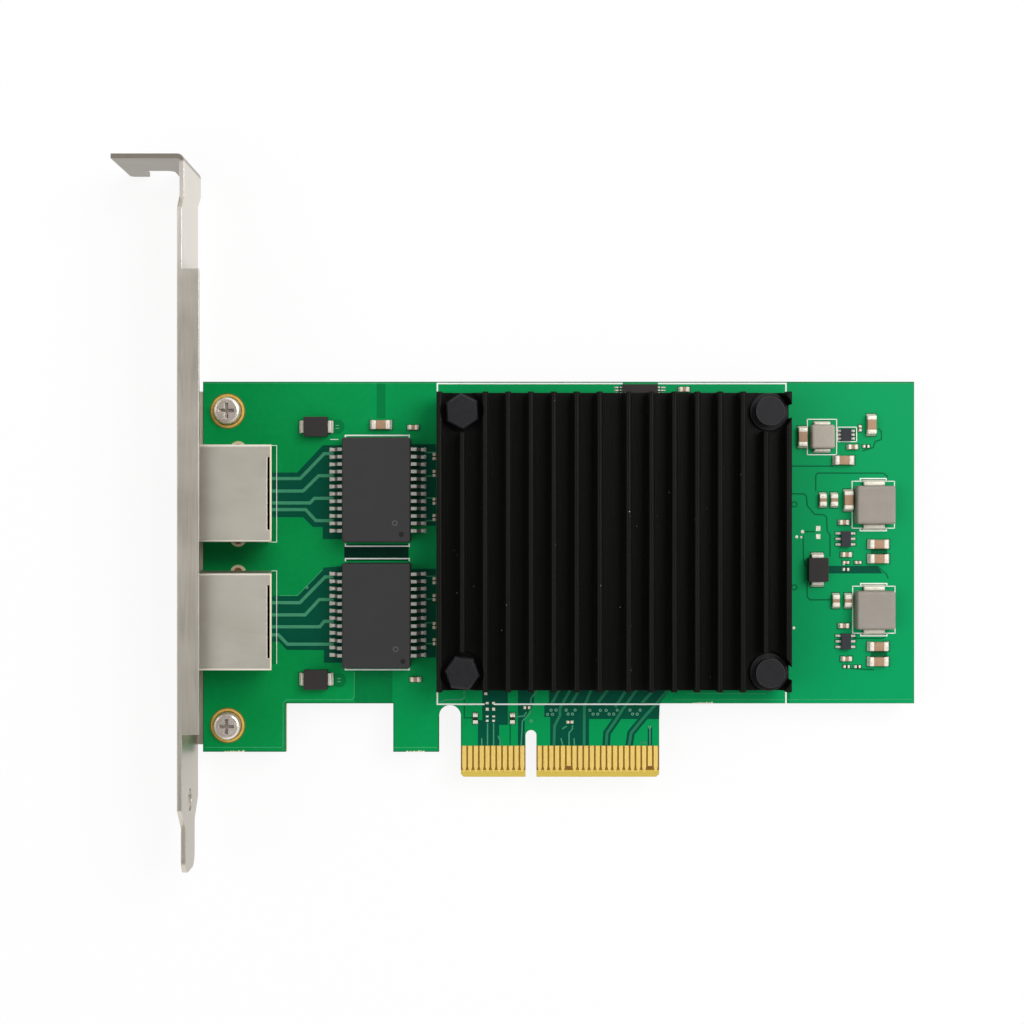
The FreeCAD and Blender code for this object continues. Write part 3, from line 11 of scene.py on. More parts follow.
import bmesh
import bpy
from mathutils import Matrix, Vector


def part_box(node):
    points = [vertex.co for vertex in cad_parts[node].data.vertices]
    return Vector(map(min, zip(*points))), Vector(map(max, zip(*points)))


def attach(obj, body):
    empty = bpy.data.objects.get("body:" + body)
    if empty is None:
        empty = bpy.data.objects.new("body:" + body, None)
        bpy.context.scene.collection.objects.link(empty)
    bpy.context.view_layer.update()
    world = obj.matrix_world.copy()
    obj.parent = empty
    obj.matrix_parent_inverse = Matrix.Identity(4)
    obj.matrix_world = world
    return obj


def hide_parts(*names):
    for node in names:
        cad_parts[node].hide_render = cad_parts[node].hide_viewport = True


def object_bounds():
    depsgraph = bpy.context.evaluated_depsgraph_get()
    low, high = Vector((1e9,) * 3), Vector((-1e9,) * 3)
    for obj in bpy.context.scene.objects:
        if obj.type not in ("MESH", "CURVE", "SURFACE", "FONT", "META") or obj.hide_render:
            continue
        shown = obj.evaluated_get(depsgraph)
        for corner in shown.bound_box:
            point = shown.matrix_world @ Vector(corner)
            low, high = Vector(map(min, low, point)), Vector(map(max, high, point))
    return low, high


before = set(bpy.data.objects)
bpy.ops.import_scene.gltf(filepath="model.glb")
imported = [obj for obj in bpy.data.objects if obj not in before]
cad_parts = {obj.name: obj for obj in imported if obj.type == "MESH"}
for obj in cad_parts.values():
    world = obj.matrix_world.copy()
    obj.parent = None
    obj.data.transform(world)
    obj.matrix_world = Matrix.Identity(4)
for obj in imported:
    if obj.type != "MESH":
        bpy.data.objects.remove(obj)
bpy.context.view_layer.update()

# %% [markdown]
# ## The camera
# The card lies flat with its parts upwards, and is looked at from straight above, about a third of
# a metre away. A long lens would hide the walls of the sockets and of the heat sink. A lens of
# 72 mm at that distance shows a little of each, more towards the edges of the view, as a
# photographer's close view does.

# %% Make the camera
LENS_LENGTH, SENSOR_WIDTH = 72.39, 36.0  # in mm
lens = bpy.data.cameras.new("card_view")
lens.lens, lens.sensor_width = LENS_LENGTH, SENSOR_WIDTH
lens.shift_x, lens.shift_y = 0.0117, 0.0
lens.clip_start, lens.clip_end = 0.02, 20.0
camera = bpy.data.objects.new("card_view", lens)
camera.location = (-0.005345, 0.04569, 0.355)
camera.rotation_euler = (0.0, 0.0, 0.0)
bpy.context.scene.collection.objects.link(camera)
bpy.context.scene.camera = camera
print("camera", round(camera.location.z * 1000), "mm above the board")

# %% [markdown]
# ## Shader maths as Python
# A finish is mostly arithmetic on patterns: how much wear there is here, how dark the grain is
# there. Written as Math nodes one by one, that is long and hard to read. So one small class wraps a
# socket and answers to +, - and *, and each operator adds the Math node it stands for.

# %% One value of a shader
class Worth:
    def __init__(self, home, socket):
        self.home, self.socket = home, socket

    def _sum(self, operation, *values):
        return self.home.node("ShaderNodeMath", {"operation": operation}, dict(enumerate(values)))

    def __add__(self, other):
        return self._sum("ADD", self, other)

    def __sub__(self, other):
        return self._sum("SUBTRACT", self, other)

    def __rsub__(self, other):
        return self._sum("SUBTRACT", other, self)

    def __mul__(self, other):
        return self._sum("MULTIPLY", self, other)

    def __gt__(self, other):
        return self._sum("GREATER_THAN", self, other)

    def __lt__(self, other):
        return self._sum("LESS_THAN", self, other)

    __radd__, __rmul__ = __add__, __mul__

    def least(self, other):
        return self._sum("MINIMUM", self, other)

    def most(self, other):
        return self._sum("MAXIMUM", self, other)

    def size(self):
        return self._sum("ABSOLUTE", self)

    def wave(self):
        return self._sum("SINE", self)

    def within(self, low, high):
        """0 below low, 1 above high, and a straight ramp between."""
        return self.home.node("ShaderNodeMapRange", {}, {
            "Value": self, "From Min": low, "From Max": high})


# %% [markdown]
# Any other node comes from one method, which takes the node's type, its settings, and what its
# sockets hold: a number, a colour, or a value that another node gives.

# %% A tree of nodes
class Tree:
    def __init__(self, nodes_of):
        nodes_of.use_nodes = True
        self.tree = nodes_of.node_tree

    def feed(self, node, socket, value):
        """Links a value to a socket, or sets a plain number or colour on it."""
        if isinstance(value, Worth):
            self.tree.links.new(value.socket, node.inputs[socket])
        else:
            node.inputs[socket].default_value = value

    def node(self, kind, settings=None, sockets=None, out=0):
        """Adds a node, and returns the output of it to go on with."""
        made = self.tree.nodes.new(kind)
        for name, value in (settings or {}).items():
            setattr(made, name, value)
        for socket, value in (sockets or {}).items():
            self.feed(made, socket, value)
        return Worth(self, made.outputs[out])


# %% [markdown]
# ## One finish
# Every material here is a Principled shader with patterns that feed its colour, its roughness and
# its bumps. What is the same all over is set on the shader itself. Places are measured in
# millimetres on the part, so that a grain of 0.3 is a grain of 0.3 mm.

# %% The class for a finish
def paint(red, green, blue):
    """A colour given as it looks on a screen, 0 to 255, as the linear colour that shaders use."""
    parts = [c / 255 for c in (red, green, blue)]
    return (*[c / 12.92 if c < 0.04045 else ((c + 0.055) / 1.055) ** 2.4 for c in parts], 1.0)


class Finish(Tree):
    def __init__(self, name, slot=None, **steady):
        self.material = bpy.data.materials.new(name)
        super().__init__(self.material)
        self.slot, self.shader = slot, self.tree.nodes["Principled BSDF"]
        for socket, value in steady.items():
            self.set(socket.replace("_", " "), value)
        place = self.node("ShaderNodeTexCoord", out="Object")
        self.at = self.node("ShaderNodeVectorMath", {"operation": "SCALE"},
                            {0: place, "Scale": 1000.0})
        self.x, self.y, self.z = [
            self.node("ShaderNodeSeparateXYZ", {}, {0: self.at}, out) for out in (0, 1, 2)]

    def set(self, socket, value):
        self.feed(self.shader, socket, value)

    def blend(self, first, second, share):
        """The first colour where share is 0, and the second where it is 1."""
        return self.node("ShaderNodeMix", {"data_type": "RGBA", "clamp_factor": True},
                         {0: share, 6: first, 7: second}, 2)

    def stretched(self, x, y, z):
        """The place on the part, scaled by so much along each axis."""
        return self.node("ShaderNodeVectorMath", {"operation": "MULTIPLY"},
                         {0: self.at, 1: (x, y, z)})

    def grain(self, per_mm, detail=3.0, place=None):
        """A cloudy pattern of about per_mm bumps a millimetre, from 0 to 1."""
        return self.node("ShaderNodeTexNoise", {}, {
            "Vector": place or self.at, "Scale": per_mm, "Detail": detail})

    def soft_edge(self, radius):
        """The surface direction as if the edges had this radius, in mm."""
        return self.node("ShaderNodeBevel", {"samples": 4}, {"Radius": radius / 1000})

    def edge_wear_and_light(self, radius):
        """1 on an edge and 0 on a flat, for wear along edges and for painted light along them."""
        true = self.node("ShaderNodeNewGeometry", out="Normal")
        likeness = self.node("ShaderNodeVectorMath", {"operation": "DOT_PRODUCT"},
                             {0: self.soft_edge(radius), 1: true}, "Value")
        return ((1.0 - likeness) * 5.0).least(1.0)

    def upward(self):
        """1 on faces that look up, 0 on walls, -1 underneath."""
        true = self.node("ShaderNodeNewGeometry", out="Normal")
        return self.node("ShaderNodeSeparateXYZ", {}, {0: true}, 2)

    def relief(self, height, depth, edge=None):
        """Bumps of this depth in mm, over edges rounded to this radius in mm."""
        sockets = {"Height": height, "Strength": 1.0, "Distance": depth / 1000}
        if edge:
            sockets["Normal"] = self.soft_edge(edge)
        self.set("Normal", self.node("ShaderNodeBump", {}, sockets))


def dress(finish, *nodes):
    """Gives solid parts their finish, which leaves their shape alone."""
    for name in nodes:
        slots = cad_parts[name].data.materials
        slots.clear()
        slots.append(finish.material)
    print(finish.material.name, "on", ", ".join(nodes))


# %% [markdown]
# Many finishes are simple: one cloudy pattern moves the colour between two shades, and the gloss
# and the bumps follow it. One function makes them all, so that each is a single line of numbers.

# %% Simple finishes
def mottled(name, slot, colour, paler, per_mm, detail, rough, depth, edge=None, along=None,
            **steady):
    """Rough is the roughness in the pattern's dips, and how much rougher its tops are."""
    finish = Finish(name, slot, **steady)
    pattern = finish.grain(per_mm, detail, finish.stretched(*along) if along else None)
    finish.lit = finish.blend(paint(*colour), paint(*paler), pattern)
    finish.set("Base Color", finish.lit)
    finish.set("Roughness", rough[0] + pattern * rough[1])
    finish.relief(pattern, depth, edge)
    return finish


# %% [markdown]
# ## Shapes for thin things
# Wires, printed lines and pads are sheets a few hundredths of a millimetre thick. Each helper gives
# the corners and faces of one such shape, in millimetres on the board, and a last one joins many
# shapes into one object that rides on the card.

# %% Flat shapes
def plate(outline, low, high):
    """A flat plate with this outline, between two heights."""
    twice = sum(a[0] * b[1] - b[0] * a[1] for a, b in zip(outline, outline[1:] + outline[:1]))
    outline = outline if twice > 0 else outline[::-1]
    n = len(outline)
    corners = [(x, y, z) for z in (low, high) for x, y in outline]
    walls = [(i, (i + 1) % n, n + (i + 1) % n, n + i) for i in range(n)]
    return corners, walls + [tuple(range(n, 2 * n)), tuple(range(n - 1, -1, -1))]


def ribbon(points, width, low, high):
    """A strip of even width along a bent line, with mitred corners."""
    sides = []
    for i, (x, y) in enumerate(points):
        before = points[max(i - 1, 0)]
        after = points[min(i + 1, len(points) - 1)]
        turns = []
        for a, b in ((before, (x, y)), ((x, y), after)):
            length = math.dist(a, b)
            if length:
                turns.append(((a[1] - b[1]) / length, (b[0] - a[0]) / length))
        across = (sum(t[0] for t in turns), sum(t[1] for t in turns))
        size = math.hypot(*across)
        across = (across[0] / size, across[1] / size)
        reach = width / 2 / (across[0] * turns[0][0] + across[1] * turns[0][1])
        sides.append(((x + across[0] * reach, y + across[1] * reach),
                      (x - across[0] * reach, y - across[1] * reach)))
    return plate([s[0] for s in sides] + [s[1] for s in reversed(sides)], low, high)


def ribbons(runs, width, layer):
    return [ribbon(run, width, *layer) for run in runs]


def circle(centre, radius, steps):
    """Points round a centre. Radius is one number, or one along X and one along Y."""
    rx, ry = radius if isinstance(radius, tuple) else (radius, radius)
    return [(centre[0] + rx * math.cos(a), centre[1] + ry * math.sin(a))
            for a in (math.tau * i / steps for i in range(steps))]


def disc(centre, radius, low, high, steps=20):
    return plate(circle(centre, radius, steps), low, high)


def ring(centre, inner, outer, low, high, steps=36):
    """A flat ring."""
    loops = [(inner, low), (outer, low), (outer, high), (inner, high)]
    corners = [(x, y, z) for radius, z in loops for x, y in circle(centre, radius, steps)]
    faces = []
    for a in range(4):
        b = (a + 1) % 4
        for i in range(steps):
            j = (i + 1) % steps
            faces.append((a * steps + i, a * steps + j, b * steps + j, b * steps + i))
    return corners, faces


def oblong(x0, y0, x1, y1, low, high):
    return plate([(x0, y0), (x1, y0), (x1, y1), (x0, y1)], low, high)


# %% Join shapes into a piece
def piece(name, finish, shapes, smooth=False):
    """One object from many shapes in mm, in metres, with its finish, riding on the card."""
    corners, faces = [], []
    for shape_corners, shape_faces in shapes:
        start = len(corners)
        corners += [(x / 1000, y / 1000, z / 1000) for x, y, z in shape_corners]
        faces += [tuple(start + i for i in face) for face in shape_faces]
    mesh = bpy.data.meshes.new(name)
    mesh.from_pydata(corners, [], faces)
    skin = bmesh.new()
    skin.from_mesh(mesh)
    bmesh.ops.recalc_face_normals(skin, faces=skin.faces)
    skin.to_mesh(mesh)
    skin.free()
    mesh.polygons.foreach_set("use_smooth", [smooth] * len(mesh.polygons))
    mesh.materials.append(finish.material)
    made = bpy.data.objects.new(name, mesh)
    bpy.context.scene.collection.objects.link(made)
    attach(made, "root")
    print(name, len(mesh.polygons), "faces")
    return made


# %% [markdown]
# Many parts here come in numbers: eighty-two capacitor ends, ninety-six leads. Where each one sits
# is read from its solid part, by sorting the mesh into its separate bodies.

# %% Find the bodies of a node
def bodies_of(node):
    """The (lowest corner, highest corner) of each separate body of a node, in mm."""
    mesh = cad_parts[node].data
    places = [tuple(round(c * 1e6) for c in v.co) for v in mesh.vertices]
    group = {p: p for p in places}

    def head(p):
        while group[p] != p:
            group[p] = group[group[p]]
            p = group[p]
        return p

    for face in mesh.polygons:
        first = head(places[face.vertices[0]])
        for i in face.vertices[1:]:
            group[head(places[i])] = first
    found = {}
    for p in group:
        found.setdefault(head(p), []).append(p)
    boxes = [[Vector(pick(c[i] for c in body) / 1000 for i in range(3)) for pick in (min, max)]
             for body in found.values()]
    return sorted(boxes, key=lambda box: (round(box[0].x, 2), round(box[0].y, 2)))


print("jack contacts:", len(bodies_of("upper_jack_contacts")))

# %% [markdown]
# ## The board
# The board is woven glass and resin, plated with copper and sealed with green solder mask. The mask
# is glassy and a little uneven, and the weave under it just shows. On the cut sides there is no
# mask, so the pale laminate is seen. The same mask looks brighter over copper and nearly
# black-green over bare laminate.

# %% Solder mask
WEAVE = 9.2  # waves in the glass cloth, in radians a millimetre


def solder_mask(name, colour, paler):
    mask = Finish(name, "solder_mask", IOR=1.5, Specular_IOR_Level=0.06)
    clouds = mask.grain(0.06, 2.0) * 0.6 + mask.grain(1.1) * 0.4
    weave = ((mask.x * WEAVE).wave() * (mask.y * WEAVE).wave()) * 0.5 + 0.5
    tone = clouds.within(0.3, 0.7) * 0.8 + weave * 0.2
    mask.green = mask.blend(paint(*colour), paint(*paler), tone)
    mask.set("Base Color", mask.green)
    mask.set("Roughness", 0.3 + clouds * 0.12)
    mask.relief(clouds * 0.5 + weave * 0.12 + mask.grain(4.0, 2.0) * 0.2, 0.02, 0.12)
    return mask


bare_mask = solder_mask("mask_over_bare_laminate", (0, 72, 54), (0, 86, 62))
wire_mask = solder_mask("mask_over_wires", (52, 134, 98), (76, 154, 118))
tongue_mask = solder_mask("mask_over_tongue_wires", (26, 112, 78), (44, 128, 94))
via_mask = solder_mask("mask_over_vias", (100, 172, 140), (140, 196, 168))
gap_mask = solder_mask("mask_over_gaps", (0, 96, 56), (0, 108, 62))
# Mask over thin copper; its pieces also paint shade behind the sockets and in two round halos.
thin_and_shaded_mask = solder_mask("mask_over_thin_copper", (0, 112, 56), (0, 126, 66))
rim_mask = solder_mask("mask_over_plane_rims", (40, 158, 92), (66, 178, 116))
# Painted shade: the board in the narrow gap between the two modules is painted near black.
module_shade_mask = solder_mask("mask_with_painted_shade_between_modules", (0, 40, 28), (0, 52, 36))
print("solder masks:", sum("mask_" in made.name for made in bpy.data.materials))

# %% [markdown]
# The board itself shows three more things: its sawn sides, where glass cloth and resin are bare,
# the connector's tongue, where the mask stops short of the contacts, and the bevel ground along the
# tongue's edge, which is yellow resin. Which one shows is a matter of place, so masks made from the
# place in millimetres choose between them.

# %% The board's own finish
MASK_STOPS, BEVEL_STOPS, TONGUE_LEFT = 5.38, 1.2, -12.4  # two heights along Y, and a place along X
board_mask = solder_mask("board_mask", (0, 132, 60), (2, 146, 76))
# Painted highlight: the green is painted paler towards the right, where the lamp lights the board
# more.
painted_light_toward_right = board_mask.x.within(-45.0, 60.0)
green = board_mask.blend(board_mask.green, paint(0, 158, 96), painted_light_toward_right * 0.75)
# Painted shade: the board between the two sockets is painted darker, for the shade that falls
# there.
between = board_mask.y.within(35.0, 37.5) * (1.0 - board_mask.y.within(39.0, 41.5))
between = between * (1.0 - board_mask.x.within(-50.0, -43.0))
green = board_mask.blend(green, paint(0, 88, 40), between * 0.7)
# Painted shade: the green is painted darker along the board's edges, for the dark line of shade
# such as that beside the bracket's flange.
green = board_mask.blend(green, paint(0, 92, 48), board_mask.edge_wear_and_light(0.3) * 0.8)
cloth = board_mask.grain(2.5, 4.0)
sawn = board_mask.blend(paint(196, 188, 128), paint(150, 150, 92), cloth)
bare = board_mask.blend(paint(112, 80, 22), paint(150, 112, 40), cloth)
ground = board_mask.blend(paint(196, 168, 66), paint(224, 200, 100),
                          board_mask.grain(3.0, 4.0, board_mask.stretched(0.6, 4.0, 4.0)))
on_tongue = (board_mask.y < MASK_STOPS) * (board_mask.x > TONGUE_LEFT)
green = board_mask.blend(green, sawn, 1.0 - board_mask.upward().size().within(0.3, 0.6))
green = board_mask.blend(green, bare, on_tongue)
green = board_mask.blend(green, ground, on_tongue * (board_mask.y < BEVEL_STOPS))
board_mask.set("Base Color", green)
dress(board_mask, "circuit_board")

# %% [markdown]
# ## Gold, tin and printed lines
# The edge fingers are hard gold over nickel: a warm satin yellow with fine rub marks along the way
# they slide into a socket. Solder is a pale, slightly lumpy grey-white. The printed lines are matt
# white ink.

# %% Gold, solder and ink
hard_gold = mottled("hard_gold", "gold_plating", (246, 206, 100), (255, 226, 138), 1.0, 4.0,
                    (0.3, 0.2), 0.008, 0.12, (9.0, 0.7, 1.0),
                    Metallic=0.55, Specular_IOR_Level=0.3)
dull_gold = mottled("dull_gold", "gold_plating", (204, 166, 62), (246, 214, 116), 1.2, 4.0,
                    (0.3, 0.2), 0.02, 0.05, Metallic=0.35, Specular_IOR_Level=0.3)
pad_tin = mottled("leg_pad_tin", "tinned_metal", (204, 190, 140), (240, 230, 196), 1.6, 3.0,
                  (0.32, 0.2), 0.03, 0.05, Metallic=0.5)
dark_brown = mottled("dark_brown_marks", None, (92, 56, 22), (140, 98, 50), 2.0, 3.0,
                   (0.35, 0.3), 0.02, Specular_IOR_Level=0.3)
solder = mottled("solder", "tinned_metal", (206, 198, 182), (250, 244, 230), 2.2, 3.0,
                 (0.24, 0.25), 0.08, 0.06, Metallic=0.15)
white_ink = mottled("white_ink", None, (226, 236, 228), (250, 252, 248), 5.0, 3.0,
                    (0.5, 0.3), 0.01, Specular_IOR_Level=0.3)
dress(hard_gold, "upper_jack_contacts", "lower_jack_contacts")
dress(solder, "controller_solder_balls")

# %% Leads with a painted dark drop
tinned_lead = mottled("tinned_lead", "tinned_metal", (196, 192, 180), (248, 246, 240), 3.0, 3.0,
                      (0.26, 0.2), 0.02, 0.08, Metallic=0.15)
# Painted shade: the sloping drop of each lead is painted nearly black.
painted_bend_shading = (1.0 - tinned_lead.upward().within(0.55, 0.95)) * tinned_lead.upward().within(-0.3, 0.0)
tinned_lead.set("Base Color", tinned_lead.blend(tinned_lead.lit, paint(52, 48, 40), painted_bend_shading * 0.9))
dress(tinned_lead, "converter_chip_pins", "small_chip_pins")

# %% [markdown]
# ## Sheet metal
# The bracket and the shields of the sockets are stamped from plated steel. Rolling leaves a fine
# grain along the sheet, the plating is satin, and the stamped edges are rounder and shinier than
# the flats. The edges and bends are also painted paler, as a painted highlight, which the edge mask
# picks out.

# %% Plated sheet
def plated_sheet(name, slot, colour, paler, along, shine, streaks, rim):
    sheet = Finish(name, slot, Metallic=1.0)
    rolled = sheet.grain(1.0, 4.0, sheet.stretched(*along))
    smears = sheet.grain(0.12)
    up = sheet.upward()
    painted_bend_shading = up.within(0.1, 0.4) * (1.0 - up.within(0.93, 0.99))
    edge = sheet.edge_wear_and_light(0.3).most(painted_bend_shading)
    tone = sheet.blend(paint(*colour), paint(*paler),
                       (rolled * streaks + smears * (1.0 - streaks)).within(0.3, 0.7))
    # Painted highlight: edges and bent faces are painted paler, by the share given as rim.
    sheet.lit = sheet.blend(tone, paint(246, 240, 226), edge * rim)
    sheet.set("Roughness", shine + rolled * 0.12 + smears * 0.1 - edge * 0.1)
    sheet.relief(rolled * streaks + smears * 0.3, 0.008, 0.18)
    return sheet


bracket_steel = plated_sheet("bracket_steel", "bracket_steel", (186, 179, 168), (208, 202, 191),
                             (6.0, 0.15, 6.0), 0.3, 0.5, 0.6)
place, shaded_steel = bracket_steel.y, paint(120, 112, 100)
# Painted highlight: from 84 to 88 mm along Y upwards the steel is painted paler, where the upper
# tab catches the light.
tone = bracket_steel.blend(bracket_steel.lit, paint(238, 232, 224), place.within(84.0, 88.0) * 0.6)
# Painted shade: beyond 104 mm along Y, and a little below 72 to 90 mm, the steel is painted darker.
tone = bracket_steel.blend(tone, shaded_steel, place.within(103.8, 104.2) * 0.8)
tone = bracket_steel.blend(tone, shaded_steel, (1.0 - place.within(72.0, 90.0)) * 0.2)
bracket_steel.set("Base Color", tone)
dress(bracket_steel, "mounting_bracket")

# %% Shields of the sockets
LIP_FRONT, LIP_LOW = -43.56, 12.5  # the rear lip of a shield lies behind and above these, in mm
shield_metal = plated_sheet("shield_metal", "shield_metal", (178, 173, 161), (190, 185, 174),
                            (0.3, 2.0, 2.0), 0.38, 0.15, 0.9)
# Painted highlight: the rear lip, where the shield bends over, is painted pale tan.
rear_lip_highlight = (shield_metal.x > LIP_FRONT) * (shield_metal.z > LIP_LOW)
tone = shield_metal.blend(shield_metal.lit, paint(240, 228, 200), rear_lip_highlight)
shield_metal.set("Base Color", tone)
dress(shield_metal, "upper_jack_shield", "lower_jack_shield")

# %% [markdown]
# ## Screws, nuts and spacers
# The two bracket screws are bright zinc with a warm cast. The heat sink is held by black-oxide
# screws with plain zinc nuts under the board, and stands on black nylon spacers.

# %% Fasteners
def turned_metal(name, slot, colour, paler, shine, metallic=1.0, gloss=0.5):
    metal = Finish(name, slot, Metallic=metallic, Specular_IOR_Level=gloss)
    marks = metal.grain(1.4, 4.0)
    edge = metal.edge_wear_and_light(0.22)
    tone = metal.blend(paint(*colour), paint(*paler), marks)
    # Painted highlight: the edges are painted paler than the flats.
    metal.lit = metal.blend(tone, paint(*[min(255, c + 50) for c in paler]), edge * 0.6)
    metal.set("Base Color", metal.lit)
    metal.set("Roughness", shine + marks * 0.15 - edge * 0.08)
    metal.relief(marks, 0.006, 0.15)
    return metal


dark_screw = turned_metal("dark_screw", "dark_screw", (32, 32, 34), (42, 42, 44), 0.34, 0.1, 0.12)
zinc_nut = turned_metal("zinc_nut", "zinc_nut", (188, 188, 184), (210, 210, 206), 0.3)
dress(dark_screw, "heatsink_hex_screws", "heatsink_round_screws")
dress(zinc_nut, "heatsink_nuts")

# %% Shade in the recess of a screw's head
SCREW_X, MIDDLE_Y, HALF_APART = -52.3, 36.0, 27.1  # where the two heads stand, in mm
RECESS_RADIUS, RECESS_FLOOR, RECESS_TOP = math.sqrt(2.9), 0.1, 1.62
bright_screw = turned_metal("bright_screw", "bright_screw", (232, 216, 204), (250, 240, 232),
                            0.2, 0.75)
across = bright_screw.x - SCREW_X
along = (bright_screw.y - MIDDLE_Y).size() - HALF_APART
recess = across * across + along * along < RECESS_RADIUS ** 2
recess = recess * (bright_screw.z < RECESS_TOP) * (bright_screw.z > RECESS_FLOOR)
shade = bright_screw.grain(1.6).within(0.35, 0.6)
hollow = bright_screw.blend(paint(64, 54, 48), paint(150, 132, 118), shade)
bright_screw.set("Base Color", bright_screw.blend(bright_screw.lit, hollow, recess * 0.45))
dress(bright_screw, "bracket_screws")

# %% [markdown]
# ## Moulded blacks
# The housings, modules and chips are all dark mouldings, and what tells them apart is how they were
# moulded: the transformer modules are matt and dark grey with a fine spark texture, the chips are
# smoother, and the socket housings are plain black.

# %% Mouldings
def moulding(name, slot, colour, paler, texture, matt, edge=0.12):
    plastic = Finish(name, slot, IOR=1.5, Specular_IOR_Level=0.15)
    spark = plastic.grain(texture)
    haze = plastic.grain(0.25, 2.0)
    tone = plastic.blend(paint(*colour), paint(*paler), spark * 0.5 + haze * 0.5)
    rubbed = plastic.edge_wear_and_light(edge * 1.2)
    plastic.set("Base Color", plastic.blend(tone, paint(*[c + 26 for c in paler]), rubbed * 0.5))
    plastic.set("Roughness", matt + spark * 0.15 - rubbed * 0.08)
    plastic.relief(spark, 0.012, edge)
    return plastic


for name, slot, colour, paler, texture, matt, edge, nodes in (
        ("module_plastic", "module_plastic", (48, 48, 48), (56, 56, 56), 6.0, 0.5, 0.25,
         ("upper_magnetics_body", "lower_magnetics_body")),
        ("socket_plastic", "black_plastic", (22, 22, 23), (30, 30, 32), 4.0, 0.42, 0.12,
         ("upper_jack_housing", "lower_jack_housing")),
        ("spacer_plastic", "spacer_plastic", (20, 20, 21), (30, 30, 31), 4.0, 0.45, 0.12,
         ("heatsink_spacers",)),
        ("chip_moulding", "chip_package", (46, 42, 41), (56, 52, 50), 8.0, 0.45, 0.12,
         ("support_chip_body",)),
        ("blue_black_chip", "dark_chip_package", (42, 43, 48), (58, 59, 64), 8.0, 0.4, 0.12,
         ("converter_chip_bodies", "small_chip_body")),
        ("diode_plastic", "diode_plastic", (44, 41, 41), (54, 51, 50), 7.0, 0.5, 0.12,
         ("diode_bodies",))):
    dress(moulding(name, slot, colour, paler, texture, matt, edge), *nodes)

# %% [markdown]
# ## The heat sink
# It is an extrusion, anodised black. Anodising is a thin glassy layer with dye in it, so it is very
# dark with a soft sheen, and the die leaves fine lines that run the length of the fins. A few
# specks of dust sit on it.

# %% Black anodising
anodised = Finish("black_anodised", "black_anodised", Specular_IOR_Level=0.08, IOR=1.5)
die_lines = anodised.grain(1.0, 4.0, anodised.stretched(7.0, 0.12, 7.0))
blotches = anodised.grain(0.2)
dusty = anodised.grain(0.07).within(0.45, 0.6)
specks = (anodised.grain(1.7, 1.0) - 0.79).within(0.0, 0.03) * dusty
black = anodised.blend(paint(11, 12, 9), paint(20, 21, 18), die_lines * 0.6 + blotches * 0.4)
# Painted highlight: the edges, such as the rounded tips of the fins, are painted a little paler.
black = anodised.blend(black, paint(84, 82, 80), anodised.edge_wear_and_light(0.15) * 0.12)
anodised.set("Base Color", anodised.blend(black, paint(190, 190, 186), specks))
anodised.set("Roughness", 0.26 + die_lines * 0.14 + specks * 0.3)
anodised.relief(die_lines, 0.02, 0.12)
dress(anodised, "heatsink")

# %% [markdown]
# ## Under the heat sink
# The controller is a ball-grid chip: a green laminate square, a nickel-plated lid, and a soft grey
# pad that passes its heat upwards. Little of it shows, but it is seen from the side.

# %% Controller
substrate = mottled("chip_laminate", "chip_substrate", (20, 104, 62), (40, 128, 80), 3.0, 3.0,
                    (0.35, 0.2), 0.01, 0.08, Coat_Weight=0.2)
chip_lid = turned_metal("chip_lid", "chip_lid", (176, 176, 174), (198, 198, 196), 0.3)
heat_pad = mottled("heat_pad", "thermal_compound", (150, 156, 164), (186, 190, 196), 4.0, 4.0,
                   (0.75, 0.2), 0.04, 0.1, Specular_IOR_Level=0.2)
dress(substrate, "controller_substrate")
dress(chip_lid, "controller_lid")
dress(heat_pad, "thermal_pad")

# %% [markdown]
# ## Coils
# The power inductors are pressed from iron powder: a warm grey block with a sandy surface and
# slightly crumbled edges. The small one is a metal can with a pinkish lacquer.

# %% Pressed powder
def pressed_powder(name, slot, colour, paler):
    powder = Finish(name, slot, Specular_IOR_Level=0.4, Metallic=0.15)
    sand = powder.grain(7.0, 4.0)
    cloud = powder.grain(0.35, 2.0)
    tone = powder.blend(paint(*colour), paint(*paler),
                        (sand * 0.6 + cloud * 0.4).within(0.25, 0.75))
    crumbled = powder.edge_wear_and_light(0.3) * (0.3 + sand * 0.6)
    powder.set("Base Color", powder.blend(tone, paint(198, 190, 180), crumbled))
    powder.set("Roughness", 0.42 + sand * 0.25)
    powder.relief(sand, 0.05, 0.25)
    return powder


inductor_powder = pressed_powder("inductor_powder", "inductor_case",
                                 (138, 131, 122), (160, 152, 143))
coil_can = pressed_powder("coil_can", "coil_case", (158, 148, 136), (182, 173, 160))
dress(inductor_powder, "upper_power_inductor", "lower_power_inductor")
dress(coil_can, "small_inductor")

# %% [markdown]
# ## Light lenses
# The four little lights beside the cables are milky plastic bars. Subsurface scattering would be
# truer, but they are tiny and deep in the housing, so a pale glossy plastic with a little clouding
# is enough.

# %% Lenses
lens_plastic = mottled("light_lens", "light_lens", (196, 208, 188), (226, 232, 218), 0.9, 2.0,
                       (0.22, 0.2), 0.02, 0.15, Coat_Weight=0.3, IOR=1.5)
dress(lens_plastic, "link_lights")

# %% [markdown]
# ## Wires under the mask
# Each wire is a copper strip a few hundredths of a millimetre high with mask over it, so it shows
# as a lighter green line. Where copper was etched away round the wires, the bare laminate makes
# dark fields. Painting them all in one material would take a mask image. Strips of real geometry
# need none, catch the light on their edges, and stay sharp close by. Each kind of strip has its own
# height, so that no two lie in one plane where they cross.

# %% Layers on the board
THIN, FIELD, EDGE, GAP, BED, OPEN, RIM, TEAR, WIRE, INK, PAD = [
    (-0.02, top) for top in
    (0.004, 0.008, 0.01, 0.012, 0.014, 0.018, 0.02, 0.03, 0.035, 0.045, 0.05)]
print("the layers end", THIN[1], "to", PAD[1], "mm above the board")

